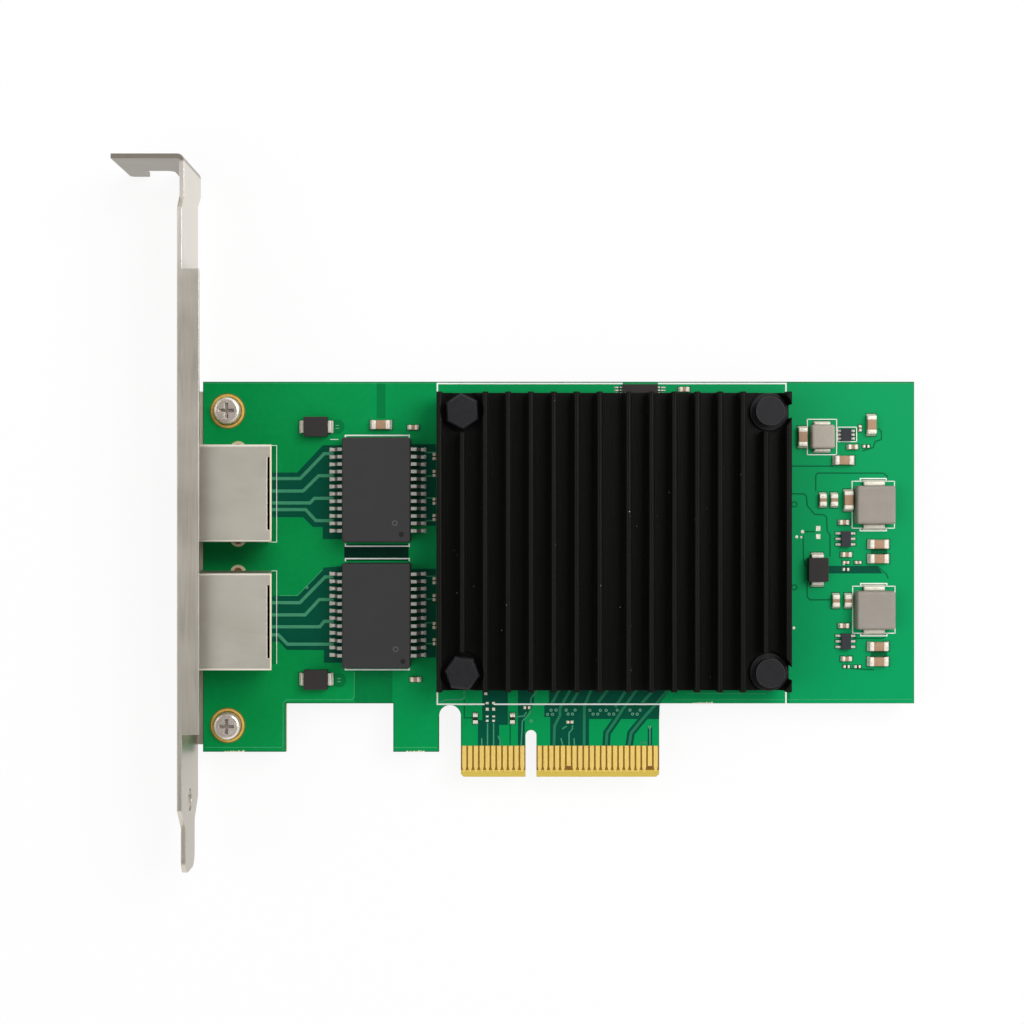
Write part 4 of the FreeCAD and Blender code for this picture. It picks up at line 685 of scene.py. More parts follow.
# %% Fields of bare laminate
field_outlines = [
    [(-44.6, 52.5), (-40.3, 52.5), (-35.9, 57.2), (-32.3, 57.2), (-32.3, 41.0), (-35.9, 41.0),
     (-35.9, 43.1), (-37.6, 43.1), (-39.3, 44.8), (-44.6, 44.8)],
    [(-44.6, 31.2), (-40.3, 31.2), (-35.7, 36.1), (-32.3, 36.4), (-32.3, 19.7), (-35.7, 19.7),
     (-35.7, 21.9), (-42.1, 21.9), (-43.4, 23.3), (-44.6, 23.3)],
    [(-20.6, 57.4), (-16.4, 57.4), (-16.4, 43.3), (-20.6, 43.3)],
    [(-20.6, 35.9), (-16.4, 35.9), (-16.4, 20.6), (-20.6, 20.6)],
    [(-8.4, 16.0), (-4.0, 16.0), (-4.0, 9.0), (-5.5, 9.0), (-5.5, 5.45), (-9.15, 5.45),
     (-9.15, 9.8), (-8.4, 9.8)],
    [(-2.25, 16.0), (0.5, 16.0), (0.5, 12.9), (-0.2, 11.5), (-1.1, 10.2), (-1.1, 5.45),
     (-2.25, 5.45)],
    [(3.1, 16.0), (24.6, 16.0), (22.2, 12.75), (22.1, 10.0), (10.0, 10.0), (10.0, 5.45),
     (3.3, 5.45), (3.3, 10.35), (2.3, 10.35), (2.3, 12.3), (3.1, 13.0)],
    [(51.2, 36.4), (59.7, 36.4), (60.6, 35.1), (51.2, 35.1)],
]
piece("bare_fields", bare_mask, [plate(outline, *FIELD) for outline in field_outlines])
# Painted shade: a near-black sheet lies in the gap between the modules.
piece("module_gap_shade", module_shade_mask, [oblong(-32.2, 37.3, -21.1, 40.1, *FIELD)])

# %% Thin copper and painted shade
# Painted shade: the two discs are dark halos, and the two strips from -44.7 to -43.95 mm along X
# lie in the shade behind the sockets. The other patches are mask over thin copper.
thin_and_shaded_spots = [disc(spot, 1.25, *THIN, 28) for spot in ((-33.4, 60.4), (-33.1, 16.7))]
thin_and_shaded_spots += [oblong(*box, *THIN) for box in (
    (-44.7, 40.7, -43.95, 57.0), (-44.7, 19.5, -43.95, 35.4), (-30.4, 12.8, -23.9, 18.4),
    (-26.6, 61.9, -25.1, 67.9), (43.95, 12.9, 44.6, 14.6))]
piece("thin_copper_and_painted_shade", thin_and_shaded_mask, thin_and_shaded_spots)

# %% Wires to the sockets and on the tongue
jack_wires = [
    [(-45.3, 51.45), (-39.8, 51.45), (-35.65, 55.75), (-34.0, 55.75)],
    [(-45.3, 49.3), (-39.3, 49.3), (-36.6, 51.95), (-34.0, 51.95)],
    [(-45.3, 47.25), (-38.1, 47.25), (-37.35, 48.05), (-34.0, 48.05)],
    [(-45.3, 46.1), (-38.85, 46.1), (-37.1, 44.2), (-34.0, 44.2)],
    [(-45.3, 30.05), (-39.85, 30.05), (-35.5, 34.5), (-34.0, 34.5)],
    [(-45.3, 27.95), (-38.95, 27.95), (-36.5, 30.6), (-34.0, 30.6)],
    [(-45.3, 25.9), (-36.4, 25.9), (-35.65, 26.85), (-34.0, 26.85)],
    [(-45.3, 24.5), (-43.55, 24.5), (-42.0, 22.9), (-34.0, 22.9)],
]
near_band = [(18.9, 16.0), (17.4, 13.9), (15.7, 11.55), (14.65, 9.85), (13.1, 7.6), (12.95, 5.4)]
far_band = [(24.6, 16.3), (21.55, 12.6), (19.65, 10.5), (17.25, 7.6), (16.9, 5.4)]
finger_wire = [(20.5, 8.6), (20.5, 5.4)]
tongue_wires = [
    near_band, far_band,
    [(7.3, 16.0), (6.55, 14.65), (5.0, 11.9), (5.0, 10.7), (4.05, 8.8), (3.95, 5.4)],
    [(8.85, 16.0), (8.1, 14.65), (6.9, 12.6)],
    [(10.8, 16.0), (10.2, 14.65), (9.2, 12.25), (9.15, 5.4)],
    [(5.4, 16.0), (4.65, 14.65), (3.45, 12.4)],
    [(13.9, 16.0), (12.95, 14.65), (11.55, 12.85)],
    [(17.1, 16.0), (16.2, 14.65), (14.5, 12.05)],
    [(22.0, 16.0), (20.85, 14.65), (19.1, 12.75)],
]
piece("wire_beds", bare_mask, ribbons([near_band[2:], far_band[1:]], 1.3, BED)
      + ribbons([finger_wire], 0.75, BED))
piece("jack_wires", wire_mask, ribbons(jack_wires, 0.56, WIRE))
piece("tongue_wires", tongue_mask, ribbons(tongue_wires, 0.5, WIRE))

# %% Thin wires
thin_runs = [
    [(-15.7, 12.95), (-14.65, 13.3), (-11.9, 13.4), (-11.5, 13.65), (-11.5, 16.0)],
    [(1.6, 16.0), (0.85, 14.65), (0.0, 13.6), (-0.05, 12.6)],
    [(-0.15, 11.55), (-0.15, 11.0), (-1.5, 9.65), (-1.7, 5.4)],
    [(-2.7, 10.4), (-1.2, 10.5), (-0.8, 11.2)],
    [(-7.5, 9.3), (-7.5, 5.4)],
    [(-6.45, 9.3), (-6.45, 5.4)],
    [(-8.5, 6.7), (-8.5, 5.4)],
    [(-5.7, 7.1), (-5.35, 6.4), (-5.35, 5.4)],
    [(7.15, 8.95), (7.15, 8.3), (6.55, 7.6), (6.55, 5.4)],
    [(6.2, 8.8), (5.35, 8.3)],
    [(7.4, 6.7), (7.5, 5.4)],
    [(5.15, 6.7), (5.5, 5.4)],
    [(18.8, 5.95), (20.0, 5.95)],
    finger_wire,
]
thin_runs += [[(-18.2, y), (-16.3, y)] for y in (55.95, 51.9, 48.1, 44.2, 34.6, 30.7, 26.6, 23.0)]
piece("thin_wires", wire_mask, ribbons(thin_runs, 0.24, WIRE))

# %% [markdown]
# On the right half the copper is one big plane, and a wire there shows the other way round, as a
# dark line: the gap etched on each side of it. The rim of a plane shows as a thin light line a
# little inside the board's edge, and the thin light line along the board's top edge is a painted
# highlight on its rim.

# %% Gaps in the copper plane
gap_runs = [
    [(43.8, 53.6), (52.1, 53.6)],
    [(49.1, 49.3), (49.1, 52.0), (49.4, 52.4), (60.7, 52.4), (61.4, 51.9), (61.4, 51.0)],
    [(44.9, 48.85), (47.1, 48.8), (47.5, 48.4), (47.6, 46.8), (48.9, 45.3), (50.5, 45.2),
     (50.95, 44.8), (51.05, 42.5), (51.55, 41.7), (51.55, 38.0)],
    [(46.9, 41.6), (47.0, 37.4), (47.5, 36.2)],
    [(47.6, 33.6), (47.6, 31.1), (48.1, 30.55), (51.8, 30.55)],
    [(46.9, 42.3), (48.9, 42.3)],
    [(59.9, 60.1), (60.4, 59.6), (60.4, 58.2), (59.3, 57.8), (59.0, 56.8), (57.1, 56.2)],
    [(59.7, 36.4), (61.3, 34.9), (61.6, 34.2)],
    [(55.5, 23.9), (60.6, 23.9), (61.4, 24.5)],
    [(54.4, 18.8), (56.6, 18.6), (59.1, 18.5)],
    [(-11.5, 13.3), (-11.5, 10.2), (-10.1, 10.2)],
    [(-3.6, 9.3), (-3.6, 5.45)],
]
eyelets = [ring(spot, 0.34, 0.54, *GAP, 24) for spot in ((45.4, 47.0), (45.4, 32.7))]
piece("copper_gaps", gap_mask, ribbons(gap_runs, 0.22, GAP) + eyelets)

# %% The edge of the mask, and a painted shadow
# Dark lines where the mask ends. The one down the left side, beside the bracket, is also painted
# shade: the shadow of the bracket's flange.
edge_and_shadow_runs = [
    [(-56.47, 68.1), (-56.47, 4.43), (-42.33, 4.43), (-42.33, 12.78), (-23.67, 12.78),
     (-23.67, 4.43), (-15.93, 4.43), (-15.93, 10.5)],
    [(-12.02, 10.4), (-12.02, 5.45)],
    [(-56.2, 68.07), (65.9, 68.07)],
]
piece("mask_edges_and_shadow", gap_mask, ribbons(edge_and_shadow_runs, 0.15, EDGE))

# %% Rims of the planes, and a painted highlight
rim_and_highlight_runs = [
    [(-42.75, 4.6), (-42.75, 12.75), (-42.2, 13.3), (-30.85, 13.35), (-30.5, 13.8),
     (-30.45, 18.1)],
    [(-56.3, 5.1), (-42.6, 5.1)],
    [(-23.7, 5.1), (-16.1, 5.1)],
    [(-43.3, 31.3), (-40.25, 31.3), (-35.95, 35.75)],
    # Painted highlight: this line along the top edge stands for the light caught by the board's
    # rim.
    [(-56.4, 67.92), (65.9, 67.92)],
    [(24.6, 13.35), (43.7, 13.35)],
    [(26.8, 14.4), (40.5, 14.4)],
    [(44.3, 13.35), (65.7, 13.4)],
]
piece("plane_rims_and_edge_highlight", rim_mask, ribbons(rim_and_highlight_runs, 0.15, RIM))

# %% [markdown]
# ## Printed lines
# White lines show where each part goes. They are about 0.1 to 0.26 mm wide and carry no words here.

# %% Printed lines
def frame_line(x, y, wide, tall, width):
    """A thin printed line round a rectangle, given by its middle and its size."""
    x0, x1, y0, y1 = x - wide / 2, x + wide / 2, y - tall / 2, y + tall / 2
    return ribbons([
        [(x0, y0 - width / 2), (x0, y1 + width / 2)], [(x1, y0 - width / 2), (x1, y1 + width / 2)],
        [(x0, y0), (x1, y0)], [(x0, y1), (x1, y1)]], width, INK)


printed = ribbons([
    [(-45.3, 57.15), (-43.85, 57.15), (-43.85, 40.5), (-45.3, 40.5)],
    [(-45.3, 35.55), (-43.85, 35.55), (-43.85, 19.5)], [(-34.65, 58.2), (-33.2, 58.2)]], 0.1, INK)
printed += ribbons([
    [(-16.15, 16.5), (-16.15, 12.55), (-8.0, 12.55)],
    [(-6.4, 12.55), (22.3, 12.55)],
    [(43.95, 12.7), (43.95, 14.8)],
    [(43.95, 65.5), (43.95, 67.85), (21.9, 67.85)],
    [(15.8, 67.85), (-16.15, 67.85), (-16.15, 64.2)]], 0.26, INK)
printed += ribbons([
    [(-32.0, y + turn), (-32.0, y), (-21.0, y), (-21.0, y + turn)]
    for y, turn in ((58.9, -0.45), (39.8, 0.45), (37.65, -0.45), (18.5, 0.45))], 0.22, INK)
inductor_spots = ((59.0, 46.95), (59.1, 28.85))
for x, y, wide, tall in (*[(*spot, 7.3, 8.1) for spot in inductor_spots],
                         (50.16, 58.62, 5.05, 6.1), (54.47, 59.07, 3.3, 2.5)):
    printed += frame_line(x, y, wide, tall, 0.15)
printed += ribbons([
    [(x - 2.25, y + side * 4.05), (x - 2.25, y + side * 4.5), (x + 2.25, y + side * 4.5),
     (x + 2.25, y + side * 4.05)] for x, y in inductor_spots for side in (-1, 1)], 0.2, INK)
piece("printed_lines", white_ink, printed)
marks = [oblong(x - 0.3, y + up, x + 0.3, y + up + 0.12, *INK)
         for x, y in ((-33.4, 60.35), (-33.1, 16.7)) for up in (-0.3, 0.2)]
piece("faint_marks", via_mask, marks)

# %% [markdown]
# ## Vias, pads and the ring of gold
# A via is a plated hole that takes a wire through the board: a small pale ring with a dark middle.
# A bare pad is a flat of solder. Round each bracket screw lies a ring of bare gold that earths the
# bracket, with a dark brown ring along each of its rims.

# %% Vias
VIA_HOLE, VIA_RIM = 0.14, 0.25  # radii in mm
via_spots = [(3.45, 11.55), (2.85, 10.8), (3.7, 10.8), (4.3, 11.55), (6.05, 11.55), (6.4, 10.85),
             (7.15, 10.85), (7.6, 11.55), (10.15, 11.5), (10.7, 10.85), (11.5, 10.85),
             (11.95, 11.5), (12.95, 11.5), (13.45, 10.85), (14.25, 10.85), (14.85, 11.55),
             (17.05, 11.55), (17.5, 10.85), (18.3, 10.85), (18.8, 11.55), (20.45, 8.6),
             (0.0, 9.65), (-38.65, 32.7)]
piece("via_rings", via_mask, [ring(spot, VIA_HOLE, VIA_RIM, *INK, 14) for spot in via_spots])
piece("via_holes", bare_mask, [disc(spot, VIA_HOLE + 0.01, *RIM, 10) for spot in via_spots])

# %% Pads
pads = [(-7.55, 11.7, 0.5, 0.5), (-6.45, 11.7, 0.5, 0.5), (-7.55, 12.75, 0.5, 0.4),
        (-6.45, 12.75, 0.5, 0.4), (-7.55, 9.7, 0.45, 0.35), (-6.45, 9.7, 0.45, 0.35),
        (-7.55, 10.45, 0.45, 0.3), (-6.45, 10.45, 0.45, 0.3),
        (-7.8, 14.4, 0.5, 0.5), (49.5, 42.85, 0.75, 0.85), (49.5, 41.45, 0.75, 0.85),
        (53.9, 36.75, 0.4, 0.35), (53.9, 35.8, 0.4, 0.35), (56.4, 36.9, 0.4, 0.35)]
piece("bare_pads", solder, [oblong(x - w / 2, y - t / 2, x + w / 2, y + t / 2, *PAD)
                            for x, y, w, t in pads])
dots = [(46.8, 42.3, 0.3), (45.8, 41.4, 0.26), (46.6, 41.35, 0.2), (45.3, 25.7, 0.25)]
piece("test_dots", solder, [disc((x, y), r, *PAD) for x, y, r in dots])

# %% Gold rings
DARK_INNER, GOLD_INNER, GOLD_OUTER, DARK_OUTER = 1.6, 2.5, 2.9, 3.04  # radii in mm
gold_rings, dark_rings = [], []
for low, high in bodies_of("bracket_screws"):
    middle = ((low.x + high.x) / 2, (low.y + high.y) / 2)
    gold_rings.append(ring(middle, GOLD_INNER, GOLD_OUTER, *PAD, 40))
    dark_rings += [ring(middle, DARK_INNER, GOLD_INNER, *INK, 40),
                   ring(middle, GOLD_OUTER, DARK_OUTER, *PAD, 40)]
piece("screw_pads", dull_gold, gold_rings)
piece("screw_pad_dark_rings", dark_brown, dark_rings)

# %% [markdown]
# The two legs of a socket's shield come down through the board beside it and are soldered in. From
# above, a thin oval of tinned copper looks out from under the shield, with the leg's slot in it.

# %% Leg pads
LEG_X, LEG_INSET = -50.5, 0.12  # mm along X, and from the shield's sides
leg_pads, leg_slots = [], []
for shield in ("upper_jack_shield", "lower_jack_shield"):
    low, high = (c * 1000 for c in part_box(shield))
    for y in (low.y + LEG_INSET, high.y - LEG_INSET):
        leg_pads.append(plate(circle((LEG_X, y), (1.3, 1.1), 28), *PAD))
        leg_slots.append(plate(circle((LEG_X, y), (0.7, 0.62), 28), 0.0, 0.06))
piece("leg_pads", pad_tin, leg_pads)
piece("leg_slots", dark_brown, leg_slots)

# %% [markdown]
# The board was one of a row in a larger panel, joined by small bridges drilled full of holes. Where
# a bridge was broken off, the edge is left ragged, with pale torn fibres.

# %% Torn edges
BRIDGE = 3.3  # mm
torn_fibre = mottled("torn_fibre", None, (206, 200, 160), (240, 236, 212), 6.0, 3.0,
                     (0.7, 0.2), 0.03, Specular_IOR_Level=0.2)
chance = random.Random(7)
tears = []
for left, edge in ((-52.9, 4.35), (-21.6, 4.35), (27.8, 12.7)):
    x = left
    while x < left + BRIDGE:
        wide, deep = chance.uniform(0.25, 0.6), chance.uniform(0.12, 0.35)
        tears.append(plate([(x, edge), (x + wide, edge), (x + wide * 0.8, edge + deep),
                            (x + wide * 0.3, edge + deep * 0.7)], *TEAR))
        x += wide * 1.1
piece("torn_edges", torn_fibre, tears)

# %% [markdown]
# ## Marks on the modules
# Each transformer module has a small moulded ring by its first lead, and beside it the dark round
# mark of the pin that pushed it out of the mould.

# %% Marks on the modules
ring_plastic = moulding("worn_ring", "module_plastic", (76, 76, 77), (90, 90, 92), 6.0, 0.5)
pit_plastic = moulding("ejector_pit", "module_plastic", (26, 26, 27), (34, 34, 35), 6.0, 0.6)
top = (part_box("upper_magnetics_body")[1] * 1000).z
piece("module_rings", ring_plastic, [
    ring(spot, 0.3, 0.48, top - 0.02, top + 0.02, 24) for spot in ((-23.2, 43.8), (-23.05, 22.4))])
piece("module_pits", pit_plastic, [
    disc(spot, 0.45, top - 0.02, top + 0.008, 24) for spot in ((-22.1, 41.9), (-21.8, 20.35))])

# %% [markdown]
# ## Edge fingers
# The fingers of an edge connector are plated flats whose ends by the edge are narrowed and rounded,
# so that the socket's springs ride on gently. Each one is drawn again as such an outline, in the
# place of its solid part.

# %% Fingers
TIP, SHOULDER = 0.25, 0.75  # how far a finger's end reaches out, and where it is at full width
SHORT = 0.3  # a finger that ends this much further in than the longest is a short one, in mm


def finger(low, high, base, top):
    half, x = (high.x - low.x) / 2, (high.x + low.x) / 2
    tip = [(x + half * 0.5 * math.sin(a), low.y - TIP * math.cos(a))
           for a in (i * math.pi / 2 / 5 for i in range(6))]
    right = tip + [(x + half, low.y + SHOULDER), (x + half, high.y)]
    left = [(2 * x - px, py) for px, py in reversed(right)]
    return plate(right + left[:-1], base, top)


def contacts(node, sink, rise):
    """The fingers of one side, with the short ones left square, and the dark spot below each."""
    boxes = bodies_of(node)
    edge = min(low.y for low, high in boxes)
    long_ones = [box for box in boxes if box[0].y < edge + SHORT]
    short_ones = [box for box in boxes if box[0].y >= edge + SHORT]
    shapes = [finger(low, high, low.z - sink, high.z + rise) for low, high in long_ones]
    shapes += [oblong(low.x, low.y, high.x, high.y, low.z - sink, high.z + rise)
               for low, high in short_ones]
    spots = [disc(((low.x + high.x) / 2, low.y - 0.25), 0.3, low.z - sink, high.z + rise - 0.02, 16)
             for low, high in short_ones]
    return shapes, spots


upper_shapes, upper_spots = contacts("component_side_contacts", 0.01, 0.0)
upper_fingers = piece("finger_contacts", hard_gold, upper_shapes)
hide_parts("component_side_contacts")
under_shapes, _ = contacts("solder_side_contacts", 0.0, 0.01)
under_fingers = piece("under_finger_contacts", hard_gold, under_shapes)
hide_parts("solder_side_contacts")
piece("short_finger_spots", dark_brown, upper_spots)

# %% [markdown]
# ## Small parts with rounded ends
# Capacitors and resistors are soldered bricks whose ends are dipped in metal paste. A sharp box
# looks wrong even at this size, because the real ends are rounded and catch the light. So each one
# is rebuilt in the same box with rounded corners, and its solid part is swapped for it.

# %% Rounded bricks
def brick(low, high, radius, steps=3):
    """A box with round edges and corners: a small box whose surface is pushed out by radius."""
    half = [(h - l) / 2 for l, h in zip(low, high)]
    middle = [(h + l) / 2 for l, h in zip(low, high)]
    radius = min(radius, *[h * 0.98 for h in half])
    last = 2 * steps + 1
    index, corners, faces = {}, [], []

    def corner(*places):
        if places not in index:
            index[places] = len(corners)
            near = [place <= steps for place in places]
            outward = [place / steps - 1 if low_side else (place - steps - 1) / steps
                       for place, low_side in zip(places, near)]
            size = math.sqrt(sum(o * o for o in outward)) or 1.0
            corners.append(tuple(
                m + (radius - h if low_side else h - radius) + o / size * radius
                for m, h, low_side, o in zip(middle, half, near, outward)))
        return index[places]

    for i in range(last):
        for j in range(last):
            for axis in range(3):
                for far in (0, last):
                    quad = []
                    for di, dj in ((0, 0), (1, 0), (1, 1), (0, 1)):
                        spot = [0, 0, 0]
                        spot[axis] = far
                        spot[(axis + 1) % 3], spot[(axis + 2) % 3] = i + di, j + dj
                        quad.append(corner(*spot))
                    faces.append(tuple(quad) if far else tuple(reversed(quad)))
    return corners, faces


def rounded(node, finish, radius, boxes):
    """Puts a brick with round edges in each of these boxes, in the place of a node's bodies."""
    made = piece("rounded_" + node, finish, [brick(low, high, radius) for low, high in boxes], True)
    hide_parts(node)


# %% [markdown]
# ## Solder
# Melted solder climbs the end of each terminal and sets in a hollow curve, which is the brightest
# thing on a small part. It is built as outlines stacked upwards, each nearer to the terminal than
# the one below.

# %% Solder shapes
def loft(loops):
    """A closed skin over outlines of the same number of points, from the lowest to the highest."""
    n = len(loops[0])
    corners = [point for loop in loops for point in loop]
    faces = [tuple(range(n - 1, -1, -1)), tuple(range(len(corners) - n, len(corners)))]
    for base in range(0, len(corners) - n, n):
        faces += [(base + i, base + (i + 1) % n, base + n + (i + 1) % n, base + n + i)
                  for i in range(n)]
    return corners, faces


def outward_of(box, hosts):
    """The axis and the direction in which a terminal looks away from its own body."""
    middle = (box[0] + box[1]) / 2
    away = min((middle - (low + high) / 2 for low, high in hosts), key=lambda gap: gap.length)
    axis = 0 if abs(away.x) > abs(away.y) else 1
    return axis, 1 if away[axis] > 0 else -1


CLIMB = ((0.0, 1.0), (0.1, 0.6), (0.3, 0.28), (0.6, 0.08), (0.85, 0.0))  # how far up and out


def skirt(box, axis, side, reach, height):
    """Solder drawn up the end of a terminal."""
    low, high = box
    face = high[axis] if side > 0 else low[axis]
    across = 1 - axis
    middle, half = (low[across] + high[across]) / 2, (high[across] - low[across]) / 2
    loops = []
    for up, out in CLIMB:
        edge, wide = face + side * (reach * out + 0.01), half * (0.96 + 0.12 * out)
        cut = min(wide, reach) * 0.4
        outline = [(face - side * 0.12, -wide), (edge - side * cut * out, -wide),
                   (edge, cut - wide), (edge, wide - cut), (edge - side * cut * out, wide),
                   (face - side * 0.12, wide)]
        flat = [(a, middle + b) if axis == 0 else (middle + b, a) for a, b in outline]
        if (side > 0) == (axis == 1):
            flat.reverse()
        loops.append([(x, y, low.z + up * height) for x, y in flat])
    return loft(loops)


# %% Joints, openings in the mask, and painted shade
CLEAR = 0.14  # how far the mask stays off a joint, in mm
openings_and_shade = []


def joint(box, axis, side, reach, height, gap=None):
    """Solder up one end, and the gap in the mask round it, a little wider than the solder, dark so
    that it also paints the shade round the joint.
    """
    (x0, y0, _), (x1, y1, _) = box
    grow = [[CLEAR, CLEAR], [CLEAR, CLEAR]]
    grow[axis][0 if side < 0 else 1] += gap or reach
    openings_and_shade.append(oblong(x0 - grow[0][0], y0 - grow[1][0], x1 + grow[0][1], y1 + grow[1][1],
                           *OPEN))
    return skirt(box, axis, side, reach, height)


# %% Capacitors and resistors
def soldered_bricks(kind, finish, radius, reach):
    """Bodies, terminals that wrap a little further round them, and solder at each end."""
    bodies = bodies_of(kind + "_bodies")
    rounded(kind + "_bodies", finish, radius * 0.6, bodies)
    terminals, joints = [], []
    for low, high in bodies_of(kind + "_terminals"):
        axis, side = outward_of((low, high), bodies)
        wrap = (high[axis] - low[axis]) * 0.35
        inner, outer = Vector(low), Vector(high)
        if side > 0:
            inner[axis] -= wrap
        else:
            outer[axis] += wrap
        terminals.append((inner, outer))
        joints.append(joint((low, high), axis, side, reach, (high.z - low.z) * 0.9))
    rounded(kind + "_terminals", solder, radius, terminals)
    piece(kind + "_solder", solder, joints, True)


ceramic = mottled("ceramic", "ceramic", (156, 122, 94), (184, 148, 118), 1.6, 3.0,
                  (0.35, 0.2), 0.02, IOR=1.5, Specular_IOR_Level=0.3)
glaze = moulding("resistor_glaze", "resistor_glaze", (34, 30, 32), (46, 41, 42), 6.0, 0.28)
for kind, finish, radius, reach in (
        ("large_capacitor", ceramic, 0.2, 0.34), ("medium_capacitor", ceramic, 0.16, 0.3),
        ("small_capacitor", ceramic, 0.12, 0.24), ("tiny_capacitor", ceramic, 0.08, 0.14),
        ("small_resistor", glaze, 0.08, 0.2), ("tiny_resistor", glaze, 0.06, 0.14)):
    soldered_bricks(kind, finish, radius, reach)

# %% Other terminals
for terminals, bodies, radius, reach in (
        ("diode_terminals", ["diode_bodies"], 0.15, 0.35),
        ("small_inductor_terminals", ["small_inductor"], 0.15, 0.25),
        ("power_inductor_terminals", ["upper_power_inductor", "lower_power_inductor"], 0.2, 0.3)):
    hosts = [box for body in bodies for box in bodies_of(body)]
    boxes = bodies_of(terminals)
    rounded(terminals, solder, radius, boxes)
    piece(terminals + "_solder", solder, [
        joint(box, *outward_of(box, hosts), reach, min(box[1].z - box[0].z, 0.9))
        for box in boxes], True)

# %% Pins of the flat chips
for pins, body in (("converter_chip_pins", "converter_chip_bodies"),
                   ("small_chip_pins", "small_chip_body")):
    hosts = bodies_of(body)
    joints = []
    for low, high in bodies_of(pins):
        _, side = outward_of((low, high), [
            (Vector((a.x, low.y, a.z)), Vector((b.x, high.y, b.z))) for a, b in hosts])
        joints.append(joint((low, high), 0, side, 0.4, 0.3, 0.35))
    piece(pins + "_solder", solder, joints, True)

# Painted shade: two dark strips lie between the paired capacitors.
openings_and_shade += [oblong(58.6, 38.4, 61.4, 39.6, *OPEN), oblong(58.6, 20.6, 61.4, 21.8, *OPEN)]
piece("mask_openings", gap_mask, openings_and_shade)

# %% [markdown]
# ## Gull-wing leads
# The leads of the modules and of the chip under the heat sink leave the body level, drop to the
# board in a soft S, and end in a flat foot. Each is a strip bent along that path. Its feet and
# shoulders are bright, and the drop between them is painted dark, as painted shade.

# %% Leads
def gull_wing(low, high, side, foot, drop, thick, wide):
    """A lead as a strip along its path from the toe to the body. Side is where the toe points."""
    toe, body = (high.x, low.x) if side > 0 else (low.x, high.x)
    start, end = toe - side * foot, toe - side * (foot + drop)
    level, shoulder = low.z + thick / 2, high.z - thick / 2
    path = [(toe, level)]
    for i in range(11):
        share = i / 10
        path.append((start + (end - start) * share,
                     level + (shoulder - level) * (3 * share ** 2 - 2 * share ** 3)))
    path.append((body, shoulder))
    left, right = (low.y + high.y - wide) / 2, (low.y + high.y + wide) / 2
    loops = []
    for i, (x, z) in enumerate(path):
        before, after = path[max(i - 1, 0)], path[min(i + 1, len(path) - 1)]
        scale = thick / 2 / math.dist(before, after)
        nx, nz = (before[1] - after[1]) * scale, (after[0] - before[0]) * scale
        loops.append([(x + nx, left, z + nz), (x + nx, right, z + nz),
                      (x - nx, right, z - nz), (x - nx, left, z - nz)])
    return loft(loops)


for leads, body, foot, drop, thick, wide, reach in (
        ("upper_magnetics_leads", "upper_magnetics_body", 0.7, 0.75, 0.25, 0.58, 0.28),
        ("lower_magnetics_leads", "lower_magnetics_body", 0.7, 0.75, 0.25, 0.58, 0.28),
        ("support_chip_leads", "support_chip_body", 0.45, 0.35, 0.15, 0.24, 0.3)):
    core = sum((c.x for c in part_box(body)), 0.0) * 500
    strips, joints = [], []
    for low, high in bodies_of(leads):
        side = 1 if low.x > core else -1
        strips.append(gull_wing(low, high, side, foot, drop, thick, wide))
        joints.append(skirt((low, high), 0, side, reach, 0.3))
    made = piece("bent_" + leads, tinned_lead, strips)
    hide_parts(leads)
    piece(leads + "_solder", solder, joints, True)

# %% [markdown]
# ## Joints under the board
# The wires and shield legs of the sockets come through to the underside and are soldered there,
# each in a small cone on a round pad.

# %% Cones of solder
board_bottom = (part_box("circuit_board")[0] * 1000).z
UNDER = (board_bottom - 0.03, board_bottom + 0.02)
BELOW, APART = 0.4, (2.0, 0.5)  # mm below the board, and the most within one end along X and Y


def tails(node):
    """The middle and half size of each pin end that comes out below the board, in mm."""
    groups = []
    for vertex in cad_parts[node].data.vertices:
        spot = vertex.co * 1000
        if spot.z < board_bottom - BELOW:
            for group in groups:
                if all(abs(group[0][i] - spot[i]) < APART[i] for i in (0, 1)):
                    group.append(spot)
                    break
            else:
                groups.append([spot])
    ends = []
    for group in groups:
        low, high = [Vector([pick(p[i] for p in group) for i in range(3)]) for pick in (min, max)]
        ends.append(((low + high) / 2, (high - low) / 2))
    return ends


def around(middle, half, grow, steps):
    """An oval round a pin end, wider than it by grow."""
    return circle(middle, (half.x + grow, half.y + grow), steps)


CONE = ((0.95, 0.06), (0.6, 0.12), (0.3, 0.24), (0.08, 0.38), (-0.02, 0.44))  # drop and growth
cones, cone_pads = [], []
for node, spread in (("upper_jack_contacts", 0.6), ("lower_jack_contacts", 0.6),
                     ("upper_jack_shield", 1.0), ("lower_jack_shield", 1.0)):
    found = tails(node)
    print(node, len(found), "ends below the board")
    for middle, half in found:
        cones.append(loft([
            [(x, y, board_bottom - drop) for x, y in around(middle, half, grow * spread, 20)]
            for drop, grow in CONE]))
        cone_pads.append(plate(around(middle, half, 0.52 * spread, 24), *UNDER))
piece("solder_cones", solder, cones, True)
piece("cone_pads", pad_tin, cone_pads)
piece("under_via_rings", via_mask, [
    ring(spot, VIA_HOLE, VIA_RIM, *UNDER, 14) for spot in via_spots])

# %% [markdown]
# ## Light and floor
# The light is that of a plain white studio: a big soft lamp high on the right, a weaker one on the
# left, and the room's own glow. Their sum on a flat surface is about the light at which a colour
# renders as written. The floor and the room are white to the camera and in reflections, and the
# floor keeps a share of its real shading so that the card's shadow stays on it.

# %% Lamps
AIM = Vector((0.0, 0.04, 0.0))  # the middle of the card, in metres


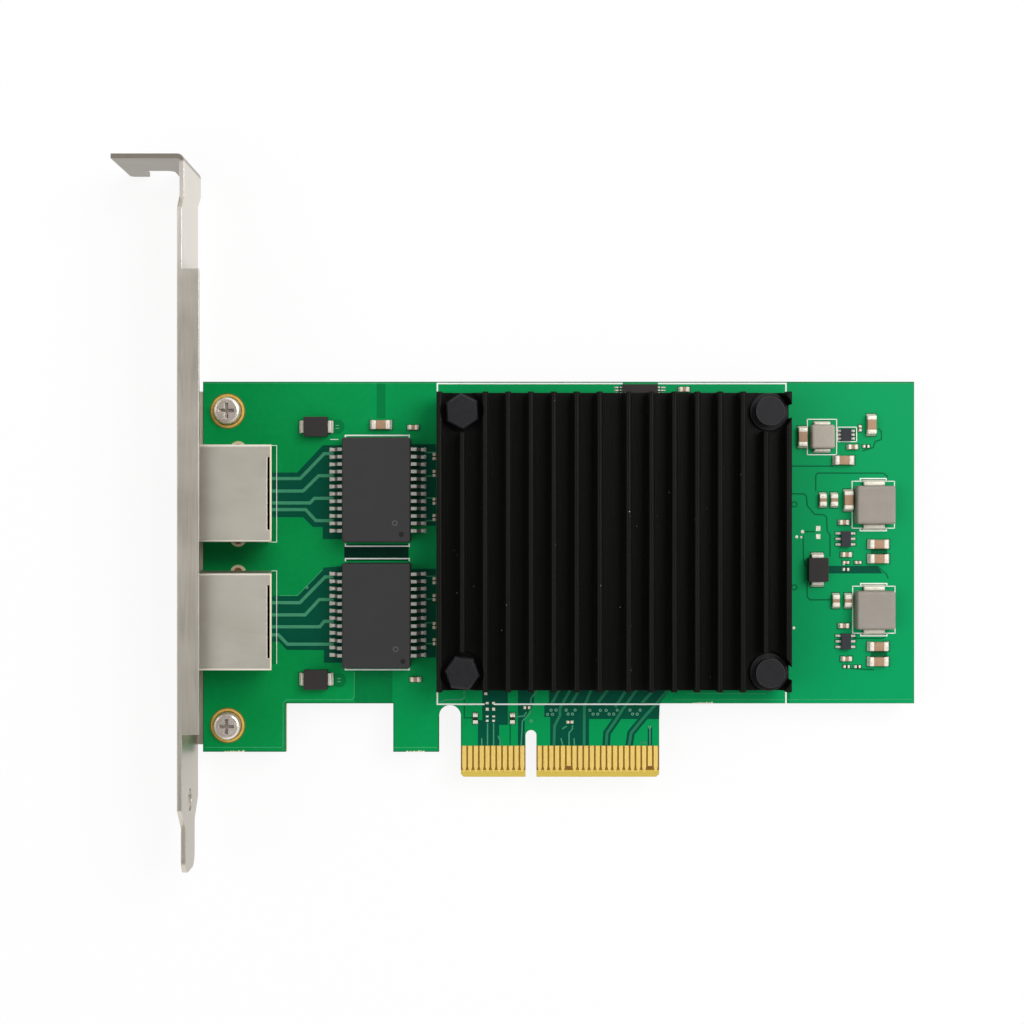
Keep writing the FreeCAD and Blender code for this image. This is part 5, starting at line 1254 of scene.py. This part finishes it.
def soft_lamp(name, place, size, power):
    lamp = bpy.data.lights.new(name, "AREA")
    lamp.shape, lamp.size, lamp.energy = "DISK", size, power
    made = bpy.data.objects.new(name, lamp)
    made.location = place
    made.rotation_euler = (AIM - Vector(place)).to_track_quat("-Z", "Y").to_euler()
    bpy.context.scene.collection.objects.link(made)
    print(name, power, "W")


soft_lamp("key_lamp", (0.34, 0.26, 0.62), 0.5, 3.3)
soft_lamp("fill_lamp", (-0.5, 0.0, 0.6), 0.6, 1.4)

# %% Room
def seen_share(tree):
    """1 for what is seen, straight or in a mirror or glass, and 0 for what lights the card."""
    camera_ray, glossy_ray, clear_ray = [
        tree.node("ShaderNodeLightPath", out=f"Is {kind} Ray")
        for kind in ("Camera", "Glossy", "Transmission")]
    return camera_ray.most(glossy_ray).most(clear_ray)


room = bpy.data.worlds.new("white_room")
bpy.context.scene.world = room
air = Tree(room)
glow = air.tree.nodes["Background"]
air.feed(glow, "Color", (1.0, 1.0, 1.0, 1.0))
strength = air.node("ShaderNodeMapRange", {}, {
    "Value": seen_share(air), "To Min": 0.5, "To Max": 1.0})
print("the room is twice as bright when seen as when it lights the card")

# %% [markdown]
# Straight above the card there is no lamp and no white ceiling, only the dark end of the studio.
# That is why a black heat sink lying flat stays black, and only its rounded edges, which lean
# towards the lamps, are bright. So the room is dimmer overhead in reflections.

# %% Dim ceiling
way = air.node("ShaderNodeTexCoord", out="Generated")
height = air.node("ShaderNodeSeparateXYZ", {}, {0: way}, "Z")
ceiling = air.node("ShaderNodeMapRange", {"interpolation_type": "SMOOTHSTEP"}, {
    "Value": height, "From Min": 0.55, "From Max": 0.95, "To Min": 0.0, "To Max": 0.8})
mirrored = air.node("ShaderNodeLightPath", out="Is Glossy Ray")
air.feed(glow, "Strength", strength * (1.0 - ceiling * mirrored))
print("the ceiling loses up to 80 % in reflections")

# %% Floor
FLOOR_GAP, FLOOR_RADIUS = 0.0001, 1.6  # metres below the lowest point, and across
low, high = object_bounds()
mesh = bpy.data.meshes.new("floor")
centre = ((low.x + high.x) / 2, (low.y + high.y) / 2)
rim = circle(centre, FLOOR_RADIUS, 64)
mesh.from_pydata([(x, y, low.z - FLOOR_GAP) for x, y in rim], [], [tuple(range(64))])
floor = bpy.data.objects.new("floor", mesh)
bpy.context.scene.collection.objects.link(floor)
paper = Finish("white_paper", Base_Color=(0.9, 0.9, 0.9, 1.0), Roughness=0.9)
shaded = Worth(paper, paper.shader.outputs[0])
white = paper.node("ShaderNodeEmission")
sheet = paper.node("ShaderNodeMixShader", {}, {0: seen_share(paper) * 0.88, 1: shaded, 2: white})
below = paper.node("ShaderNodeNewGeometry", out="Backfacing")
clear = paper.node("ShaderNodeBsdfTransparent")
sheet = paper.node("ShaderNodeMixShader", {}, {0: below, 1: sheet, 2: clear})
paper.feed(paper.tree.nodes["Material Output"], "Surface", sheet)
mesh.materials.append(paper.material)
bpy.context.scene.view_settings.view_transform = "Standard"
print("floor at", round((low.z - FLOOR_GAP) * 1000, 2), "mm")
